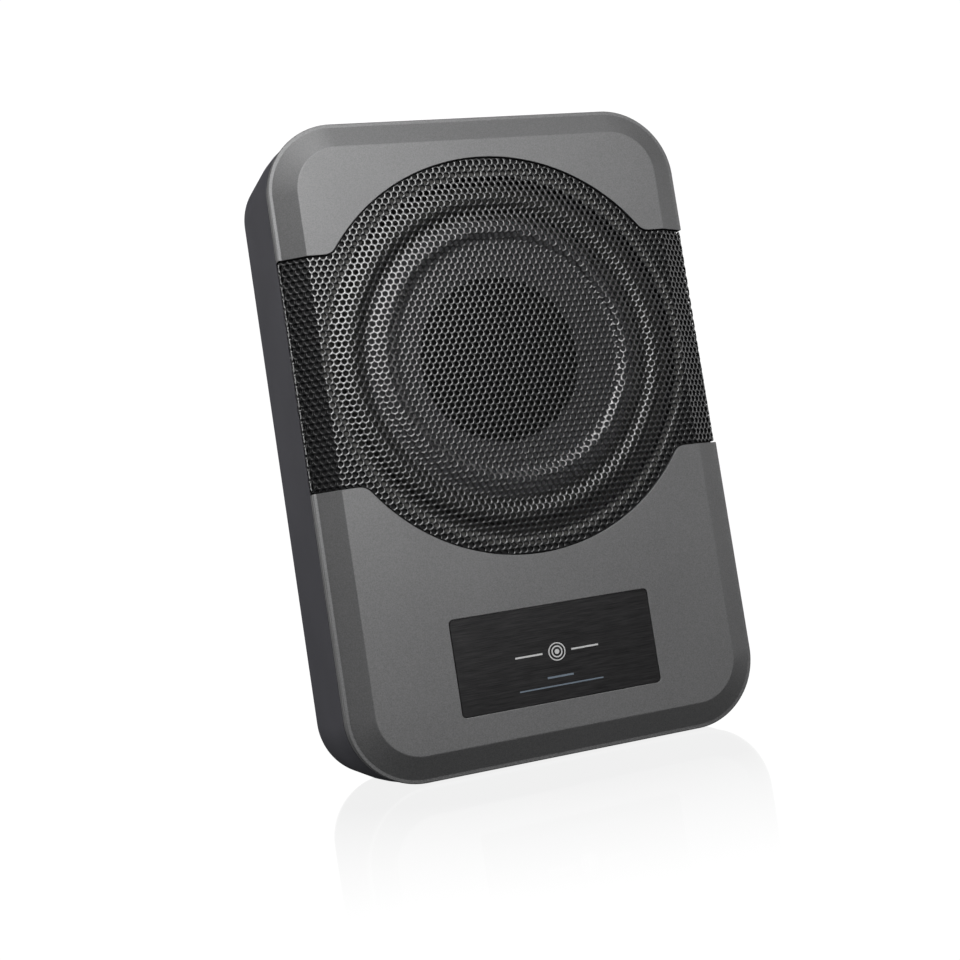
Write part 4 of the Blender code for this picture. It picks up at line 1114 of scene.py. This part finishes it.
def makeDustCap():
    back = depthRange("dust_cap")[1] - driverShape["paper"] * 0.9
    radius = driverShape["capRadius"]
    front = [(radius * step / 20, back - driverShape["capRise"] * (1 - (step / 20) ** 2))
             for step in range(21)]
    behind = [(r * 0.985, depth + driverShape["paper"] * 0.9) for r, depth in front]
    cap = driverTurned("dustDome", front + behind[::-1], "cap", closed=False)
    return install(cap, "cap_paper", "diaphragm", "dust_cap")


def makeSpider():
    front, back = depthRange("spider")
    middle = (front + back) / 2
    land = driverShape["spiderLand"]
    start = driverShape["neck"] + 0.004
    count = driverShape["spiderWaves"] * 8
    line = [(driverShape["spiderOuter"], back - 0.0013), (land, back - 0.0013)]
    rise = driverShape["spiderRise"]
    for step in range(1, count):
        share = step / count
        height = driverShape["spiderWave"] - driverShape["spiderWaveLoss"] * share
        wave = height * math.sin(share * driverShape["spiderWaves"] * 2 * math.pi)
        line.append((land + (start - land) * share, middle + 0.0003 - rise * share - wave))
    line += [(start, middle - rise), (driverShape["neck"], middle - rise - 0.0004)]
    above = [(radius, depth - driverShape["spiderCloth"]) for radius, depth in line]
    makeFlexing("spiderWedge", [above[0]] + line + above[:0:-1], "cloth", "spider",
                land, start)


def middleOf(node):
    low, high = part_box(node)
    return (Vector(low) + Vector(high)) / 2


panelShape = {"shaft": 0.0034, "jack": 0.0046, "lamp": 0.0020, "screwHole": 0.0017,
              "socketGap": 0.0004, "slotLow": 0.0024, "slotHigh": 0.0064, "slotHalf": 0.0021,
              "tickInner": 0.0064, "tickOuter": 0.0074, "tickWidth": 0.0003, "ticks": 11,
              "ink": 0.00002, "barWidth": 0.0004}


def makePanelPlate():
    low, high = panelLow, panelHigh
    plate = makeBox("panelPlate", low, high, ["panel"])
    inside = low[0] - 0.003
    outside = high[0] + 0.003

    def bore(node, radius):
        spot = middleOf(node)
        carve(plate, makeRod("bore", radius, (inside, spot.y, spot.z), (outside, spot.y, spot.z),
                             steps=40))

    for node in ("gain_knob", "filter_knob"):
        bore(node, panelShape["shaft"])
    for node in ("rca_jack_left", "rca_jack_right"):
        bore(node, panelShape["jack"])
    bore("power_lamp", panelShape["lamp"])
    for index in range(1, 5):
        bore(f"panel_screw_{index}", panelShape["screwHole"])
    for node in ("phase_switch", "input_switch"):
        spot = middleOf(node)
        half = panelShape["slotHalf"]
        carve(plate, makeBox("slot", (inside, spot.y - half, spot.z - panelShape["slotLow"]),
                             (outside, spot.y + half, spot.z + panelShape["slotHigh"])))
    for node in ("power_socket", "speaker_input_socket", "remote_socket"):
        nodeLow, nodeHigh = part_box(node)
        gap = panelShape["socketGap"]
        carve(plate, makeBox("window", (inside, nodeLow[1] - gap, nodeLow[2] - gap),
                             (outside, nodeHigh[1] + gap, nodeHigh[2] + gap)))
    softenEdges(plate, 0.00015)
    install(plate, "panel_black", "enclosure", "control_panel")
    makePanelPrint()


# plain tick marks round the knobs, and bars beside the switches
def makePanelPrint():
    shape = bmesh.new()
    face = panelHigh[0]

    def stamp(spot, along, width, length):
        turn = Matrix.Rotation(along, 4, "X")
        made = bmesh.ops.create_cube(shape, size=1.0)["verts"]
        bmesh.ops.scale(shape, vec=(panelShape["ink"], width, length), verts=made)
        bmesh.ops.transform(shape, matrix=Matrix.Translation(spot) @ turn, verts=made)

    for node in ("gain_knob", "filter_knob"):
        spot = middleOf(node)
        for tick in range(panelShape["ticks"]):
            angle = math.radians(-150 + 300 * tick / (panelShape["ticks"] - 1))
            reach = (panelShape["tickInner"] + panelShape["tickOuter"]) / 2
            stretch = 1.5 if tick % 5 == 0 else 1.0
            long = (panelShape["tickOuter"] - panelShape["tickInner"]) * stretch
            place = Vector((face, spot.y - reach * math.sin(angle),
                            spot.z + reach * math.cos(angle)))
            stamp(place, angle, panelShape["tickWidth"], long)
    for node in ("phase_switch", "input_switch"):
        spot = middleOf(node)
        for lift in (0.0, 0.004):
            stamp(Vector((face, spot.y - 0.0040, spot.z + lift)), 0.0, 0.0018,
                  panelShape["barWidth"])
    for node in ("rca_jack_left", "rca_jack_right"):
        spot = middleOf(node)
        stamp(Vector((face, spot.y, spot.z + 0.0072)), 0.0, 0.0040, panelShape["barWidth"])
    spot = middleOf("power_lamp")
    stamp(Vector((face, spot.y, spot.z - 0.0042)), 0.0, 0.0030, panelShape["barWidth"])
    marks = fromBmesh("panelPrint", shape, ["whiteInk"])
    return install(marks, "panel_black", "enclosure")


def makeKnob(node, body):
    low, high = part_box(node)
    spot = middleOf(node)
    base = panelHigh[0]
    gap = 0.0004
    top = high[0] - base
    radius = (high[1] - low[1]) / 2
    shape = bmesh.new()
    flutes = 24
    steps = flutes * 6
    levels = [(gap, 0.0, 1), (gap + 0.0003, 0.0002, 1), (top - 0.0012, 0.0003, 1),
              (top - 0.0005, 0.0006, 0.5), (top - 0.0001, 0.0012, 0), (top, 0.0017, 0)]
    rings = []
    for height, inset, depth in levels:
        ring = []
        for step in range(steps):
            angle = 2 * math.pi * step / steps
            wave = (0.5 - 0.5 * math.cos(angle * flutes)) ** 2
            reach = radius - inset - 0.00028 * wave * depth
            ring.append(shape.verts.new((base + height, spot.y + reach * math.cos(angle),
                                         spot.z + reach * math.sin(angle))))
        rings.append(ring)
    for first, second in zip(rings, rings[1:]):
        for step in range(steps):
            after = (step + 1) % steps
            shape.faces.new((first[step], first[after], second[after], second[step]))
    shape.faces.new(rings[0][::-1])
    shape.faces.new(rings[-1])
    knob = fromBmesh(node.replace("_knob", "KnobCap"), shape, ["knob"], 40.0)
    shaft = makeRod("shaftStub", 0.0030, (low[0], spot.y, spot.z), (base + 0.002, spot.y, spot.z))
    carve(knob, shaft, "UNION")
    groove = makeBox("pointerGroove", (base + top - 0.0007, spot.y - 0.00045, spot.z + 0.0008),
                     (base + top + 0.001, spot.y + 0.00045, spot.z + radius + 0.001))
    carve(knob, groove)
    knob.data.shade_smooth()
    knob.data.set_sharp_from_angle(angle=math.radians(40))
    install(knob, "knob_black", body, node)
    pointer = makeBox(node.replace("_knob", "KnobPointer"),
                      (base + top - 0.00068, spot.y - 0.00035, spot.z + 0.0010),
                      (base + top - 0.0003, spot.y + 0.00035, spot.z + radius - 0.0016),
                      ["whiteInk"])
    return install(pointer, "knob_black", body)


def makeJack(node, insulator, slot):
    low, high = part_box(node)
    spot = middleOf(node)
    tip = high[0]
    root = panelHigh[0]
    barrel = [(0.0042, tip - root - 0.0004), (0.0042, 0.0002), (0.0050, 0.0002), (0.0050, 0.0),
              (0.0042, 0.0), (0.0042, -0.0016), (0.0056, -0.0018), (0.0056, low[0] - root),
              (0.0, low[0] - root), (0.0, 0.0), (0.0036, 0.0), (0.0036, tip - root - 0.0001),
              (0.0038, tip - root), (0.0040, tip - root - 0.0001)]
    ordered = barrel[9:] + barrel[:9]
    shell = makeTurned(node.replace("_", "") + "Barrel", ordered, ["nickel"],
                       (root, spot.y, spot.z), (1, 0, 0), 64, False)
    install(shell, slot, "enclosure", node)
    core = [(0.0, 0.0005), (0.0016, 0.0005), (0.0016, tip - root - 0.0006),
            (0.0020, tip - root - 0.0003), (0.0032, tip - root - 0.0003),
            (0.0035, tip - root - 0.0006), (0.0035, 0.0003), (0.0, 0.0003)]
    plug = makeTurned(node.replace("_", "") + "Insulator", core, [insulator],
                      (root, spot.y, spot.z), (1, 0, 0), 64, False)
    return install(plug, slot, "enclosure")


def makeSocket(node, columns, rows):
    low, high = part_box(node)
    wall = 0.0013
    floor = low[0] + 0.0012
    title = node.replace("_socket", "").replace("_", "")
    shell = makeBox(title + "SocketShell", low, high, ["nylon"], bevel=0.0004)
    carve(shell, makeBox("mouth", (floor, low[1] + wall, low[2] + wall),
                         (high[0] + 0.002, high[1] - wall, high[2] - wall)))
    keyY = (low[1] + high[1]) / 2
    carve(shell, makeBox("latchSlot", (high[0] - 0.0035, keyY - 0.0018, high[2] - wall - 0.0005),
                         (high[0] + 0.002, keyY + 0.0018, high[2] - wall + 0.0007)))
    softenEdges(shell, 0.00018)
    install(shell, "connector_nylon", "enclosure", node)
    shape = bmesh.new()
    for row in range(rows):
        for column in range(columns):
            z = low[2] + wall + (high[2] - low[2] - 2 * wall) * (row + 0.5) / rows
            y = low[1] + wall + (high[1] - low[1] - 2 * wall) * (column + 0.5) / columns
            made = bmesh.ops.create_cube(shape, size=1.0)["verts"]
            bmesh.ops.scale(shape, vec=(0.0066, 0.0010, 0.0010), verts=made)
            bmesh.ops.translate(shape, vec=(floor + 0.0032, y, z), verts=made)
            tip = [vert for vert in made if vert.co.x > floor + 0.004]
            for vert in tip:
                vert.co.y = y + (vert.co.y - y) * 0.6
                vert.co.z = z + (vert.co.z - z) * 0.6
    pins = fromBmesh(title + "SocketPins", shape, ["gold"])
    return install(pins, "connector_nylon", "enclosure")


def makeSlider(node, body):
    low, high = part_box(node)
    slider = makeBox(node.replace("_switch", "Slider"), low, high, ["knob"], bevel=0.0003)
    spot = middleOf(node)
    for lift in (-0.0010, 0.0, 0.0010):
        carve(slider, makeBox("grip", (high[0] - 0.0004, low[1] - 0.001, spot.z + lift - 0.0002),
                              (high[0] + 0.001, high[1] + 0.001, spot.z + lift + 0.0002)))
    return install(slider, "knob_black", body, node)


# (radius, height) of a domed head, a plain shank and a blunt end
def screwProfile(radius, height, shank, taper, tip, foot):
    profile = [(0.0, height)]
    for step in range(1, 7):
        angle = math.pi / 2 * step / 6
        profile.append((radius * math.sin(angle), height * (0.35 + 0.65 * math.cos(angle))))
    return profile + [(radius, 0.0), (shank, 0.0), (shank, foot + taper), (tip, foot),
                      (0.0, foot)]


def makePanelScrew(index):
    node = f"panel_screw_{index}"
    low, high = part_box(node)
    spot = middleOf(node)
    seat = panelHigh[0] + 0.0003
    height = high[0] - seat
    radius = (high[1] - low[1]) / 2
    profile = screwProfile(radius, height, 0.0013, 0.0006, 0.0007, low[0] - seat)
    screw = makeTurned(f"panelScrew{index}", profile, ["screw"], (seat, spot.y, spot.z),
                       (1, 0, 0), 40, False)
    for turn in (0, 90):
        cutter = makeBox("crossRecess", (-0.0009, -0.00035, -0.0015), (0.001, 0.00035, 0.0015))
        spin = Matrix.Rotation(math.radians(turn + 25 + 30 * index), 4, "X")
        cutter.data.transform(Matrix.Translation((seat + height, spot.y, spot.z)) @ spin)
        carve(screw, cutter)
    return install(screw, "black_screw", "enclosure", node)


def makeCoverScrew(index):
    node = f"cover_screw_{index}"
    low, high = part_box(node)
    spot = middleOf(node)
    headHeight = 0.0027
    seat = high[1] - headHeight
    radius = (high[0] - low[0]) / 2
    profile = screwProfile(radius, headHeight, 0.0016, 0.0008, 0.0008, low[1] - seat)
    screw = makeTurned(f"coverScrew{index}", profile, ["screw"], (spot.x, seat, spot.z),
                       (0, 1, 0), 40, False)
    for turn in (0, 90):
        cutter = makeBox("crossRecess", (-0.0020, -0.0014, -0.00045), (0.0020, 0.001, 0.00045))
        spin = Matrix.Rotation(math.radians(turn + 17 * index), 4, "Y")
        cutter.data.transform(Matrix.Translation((spot.x, high[1], spot.z)) @ spin)
        carve(screw, cutter)
    return install(screw, "black_screw", "enclosure", node)


def makeLamp():
    low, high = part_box("power_lamp")
    spot = middleOf("power_lamp")
    base = panelHigh[0]
    rise = high[0] - base
    radius = (high[1] - low[1]) / 2
    profile = [(radius * math.sin(math.pi / 2 * step / 8), rise * math.cos(math.pi / 2 * step / 8))
               for step in range(9)]
    profile += [(radius, low[0] - base), (0.0, low[0] - base)]
    lamp = makeTurned("lampDome", profile, ["lamp"], (base, spot.y, spot.z), (1, 0, 0), 40, False)
    return install(lamp, "lamp_lens", "enclosure", "power_lamp")


keptFinishes = {
    "foam": ["cover_gasket", "driver_gasket"],
    "stamped": ["driver_frame"],
    "foil": ["voice_coil_former"],
    "copper": ["voice_coil", "transformer"],
    "zinc": ["top_plate", "yoke", "gain_pot", "filter_pot", "phase_switch_body",
             "input_switch_body"],
    "ferrite": ["magnet"],
    "aluminium": ["heat_sink_bar"],
    "board": ["amplifier_board", "panel_board"],
    "epoxy": ["transistor_1", "transistor_2", "terminal_strip"],
    "sleeve": ["capacitor_1", "capacitor_2"],
    "amber": ["fuse"],
    "red": ["speaker_lead_plus"],
    "black": ["speaker_lead_minus"],
    "screw": [f"driver_screw_{index}" for index in range(1, 5)],
}


def dressKeptNodes():
    for finishName, nodes in keptFinishes.items():
        for node in nodes:
            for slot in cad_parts[node].material_slots:
                slot.material = finishes[finishName].material


cameraSet = {"lens": 54.48, "place": (-0.2718, -0.7567, 0.1034), "turn": (93.509, 8.751, -18.287)}

# azimuth from the front towards the right, elevation and spread in degrees, power in watts
lightSet = {"distance": 2.0, "aim": (0.0, 0.0, 0.17), "boxes": [
    ("frontSoftbox", -5, 20, 15, 7.6), ("frontSoftboxTop", -5, 35, 15, 3.2),
    ("frontLowSoftbox", 3, 6, 10, 1.6), ("frontRightSoftbox", 10, 20, 15, 3.3),
    ("frontRightSoftboxTop", 10, 35, 15, 1.1), ("overheadSoftbox", -5, 62, 26, 7.8),
    ("leftHighSoftbox", -40, 29, 14, 1.5), ("leftCornerSoftbox", -26, 45, 16, 3.2),
    ("leftRearSoftbox", -110, 13, 38, 19.0), ("rightSoftbox", 50, 10, 24, 1.0),
    ("rightHighSoftbox", 50, 40, 24, 2.1), ("farRightSoftbox", 68, 8, 26, 2.7),
    ("floorBounce", 10, -28, 24, 0.35), ("backSoftbox", 157, 32, 36, 12.0),
    ("backRightSoftbox", 128, 20, 34, 10.0)]}


def makeCamera():
    camera = bpy.data.cameras.new("camera")
    camera.lens = cameraSet["lens"]
    camera.sensor_width = 36.0
    camera.clip_start = 0.01
    holder = bpy.data.objects.new("camera", camera)
    holder.location = cameraSet["place"]
    holder.rotation_euler = Euler([math.radians(angle) for angle in cameraSet["turn"]])
    bpy.context.scene.collection.objects.link(holder)
    bpy.context.scene.camera = holder


def makeLights():
    aim = Vector(lightSet["aim"])
    for name, azimuth, elevation, spread, power in lightSet["boxes"]:
        around = math.radians(azimuth)
        up = math.radians(elevation)
        away = Vector((math.sin(around) * math.cos(up), -math.cos(around) * math.cos(up),
                       math.sin(up)))
        lamp = bpy.data.lights.new(name, "AREA")
        lamp.shape = "SQUARE"
        lamp.size = 2 * lightSet["distance"] * math.tan(math.radians(spread / 2))
        lamp.energy = power
        holder = bpy.data.objects.new(name, lamp)
        holder.location = aim + away * lightSet["distance"]
        holder.rotation_euler = (-away).to_track_quat("-Z", "Y").to_euler()
        bpy.context.scene.collection.objects.link(holder)


stageSet = {"radius": 6.0, "glow": 1.04, "mirror": 0.17, "blur": 0.06, "fadeStart": 0.14,
            "fadeEnd": 0.40, "level": -0.0005, "world": (0.80, 0.82, 0.85), "worldPower": 0.03}


def stageGlow(tree, strength):
    glow = tree.nodes.new("ShaderNodeEmission")
    glow.inputs["Strength"].default_value = strength
    return glow


def stageMaterial(name, mirrored):
    material = bpy.data.materials.new(name)
    material.use_nodes = True
    tree = material.node_tree
    tree.nodes.clear()
    output = tree.nodes.new("ShaderNodeOutputMaterial")
    plain = stageGlow(tree, stageSet["glow"])
    if not mirrored:
        tree.links.new(plain.outputs[0], output.inputs["Surface"])
        return material
    # a faint polish round the footprint that dies away with distance
    share = stageSet["mirror"]
    gloss = tree.nodes.new("ShaderNodeBsdfGlossy")
    gloss.inputs["Color"].default_value = (share, share, share, 1.0)
    gloss.inputs["Roughness"].default_value = stageSet["blur"]
    both = tree.nodes.new("ShaderNodeAddShader")
    tree.links.new(gloss.outputs[0], both.inputs[0])
    tree.links.new(stageGlow(tree, stageSet["glow"] * (1 - share)).outputs[0], both.inputs[1])
    place = tree.nodes.new("ShaderNodeTexCoord")
    reach = tree.nodes.new("ShaderNodeVectorMath")
    reach.operation = "LENGTH"
    tree.links.new(place.outputs["Object"], reach.inputs[0])
    fade = tree.nodes.new("ShaderNodeMapRange")
    fade.inputs["From Min"].default_value = stageSet["fadeStart"]
    fade.inputs["From Max"].default_value = stageSet["fadeEnd"]
    fade.inputs["To Min"].default_value = 1.0
    fade.inputs["To Max"].default_value = 0.0
    tree.links.new(reach.outputs["Value"], fade.inputs["Value"])
    blend = tree.nodes.new("ShaderNodeMixShader")
    tree.links.new(fade.outputs["Result"], blend.inputs[0])
    tree.links.new(plain.outputs[0], blend.inputs[1])
    tree.links.new(both.outputs[0], blend.inputs[2])
    tree.links.new(blend.outputs[0], output.inputs["Surface"])
    return material


# the dome shows behind the object and in the floor's polish, but doesn't light the object
def makeStage():
    radius = stageSet["radius"]
    floorOnly = bpy.data.collections.new("floorOnly")
    for name, mirrored in (("paleFloor", True), ("paleDome", False)):
        shape = bmesh.new()
        if mirrored:
            bmesh.ops.create_circle(shape, cap_ends=True, segments=64, radius=radius * 0.999)
            bmesh.ops.translate(shape, vec=(0, 0, stageSet["level"]), verts=shape.verts)
        else:
            bmesh.ops.create_uvsphere(shape, u_segments=64, v_segments=32, radius=radius)
            buried = [face for face in shape.faces if face.calc_center_median().z < -0.3]
            bmesh.ops.delete(shape, geom=buried, context="FACES")
        mesh = bpy.data.meshes.new(name)
        shape.to_mesh(mesh)
        shape.free()
        mesh.materials.append(stageMaterial(name, mirrored))
        stage = bpy.data.objects.new(name, mesh)
        bpy.context.scene.collection.objects.link(stage)
        if mirrored:
            floorOnly.objects.link(stage)
        else:
            stage.light_linking.receiver_collection = floorOnly
        stage.visible_diffuse = False
        stage.visible_glossy = not mirrored
        stage.visible_transmission = False
        stage.visible_shadow = False
    world = bpy.data.worlds.new("studio")
    world.use_nodes = True
    bpy.context.scene.world = world
    background = world.node_tree.nodes["Background"]
    background.inputs["Color"].default_value = (*stageSet["world"], 1.0)
    background.inputs["Strength"].default_value = stageSet["worldPower"]
    bpy.context.scene.view_settings.view_transform = "Standard"


def buildAll():
    makeCamera()
    makeStage()
    makeLights()
    print("stage")
    makeCover()
    print("cover")
    makeHousing()
    print("housing")
    makeGrille()
    makeBadge()
    print("badge")
    makeSurround()
    makeCone()
    makeDustCap()
    makeSpider()
    makeLead("tinsel_lead_left", "tinselBraidLeft")
    makeLead("tinsel_lead_right", "tinselBraidRight")
    print("driver")
    makePanelPlate()
    makeKnob("gain_knob", "gain_control")
    makeKnob("filter_knob", "filter_control")
    makeSlider("phase_switch", "phase_slider")
    makeSlider("input_switch", "input_slider")
    makeJack("rca_jack_left", "white", "white_plastic")
    makeJack("rca_jack_right", "red", "red_plastic")
    makeSocket("power_socket", 4, 2)
    makeSocket("speaker_input_socket", 4, 1)
    makeSocket("remote_socket", 3, 1)
    makeLamp()
    for index in range(1, 5):
        makePanelScrew(index)
    for index in range(1, 7):
        makeCoverScrew(index)
    dressKeptNodes()
    print("control panel")


buildAll()
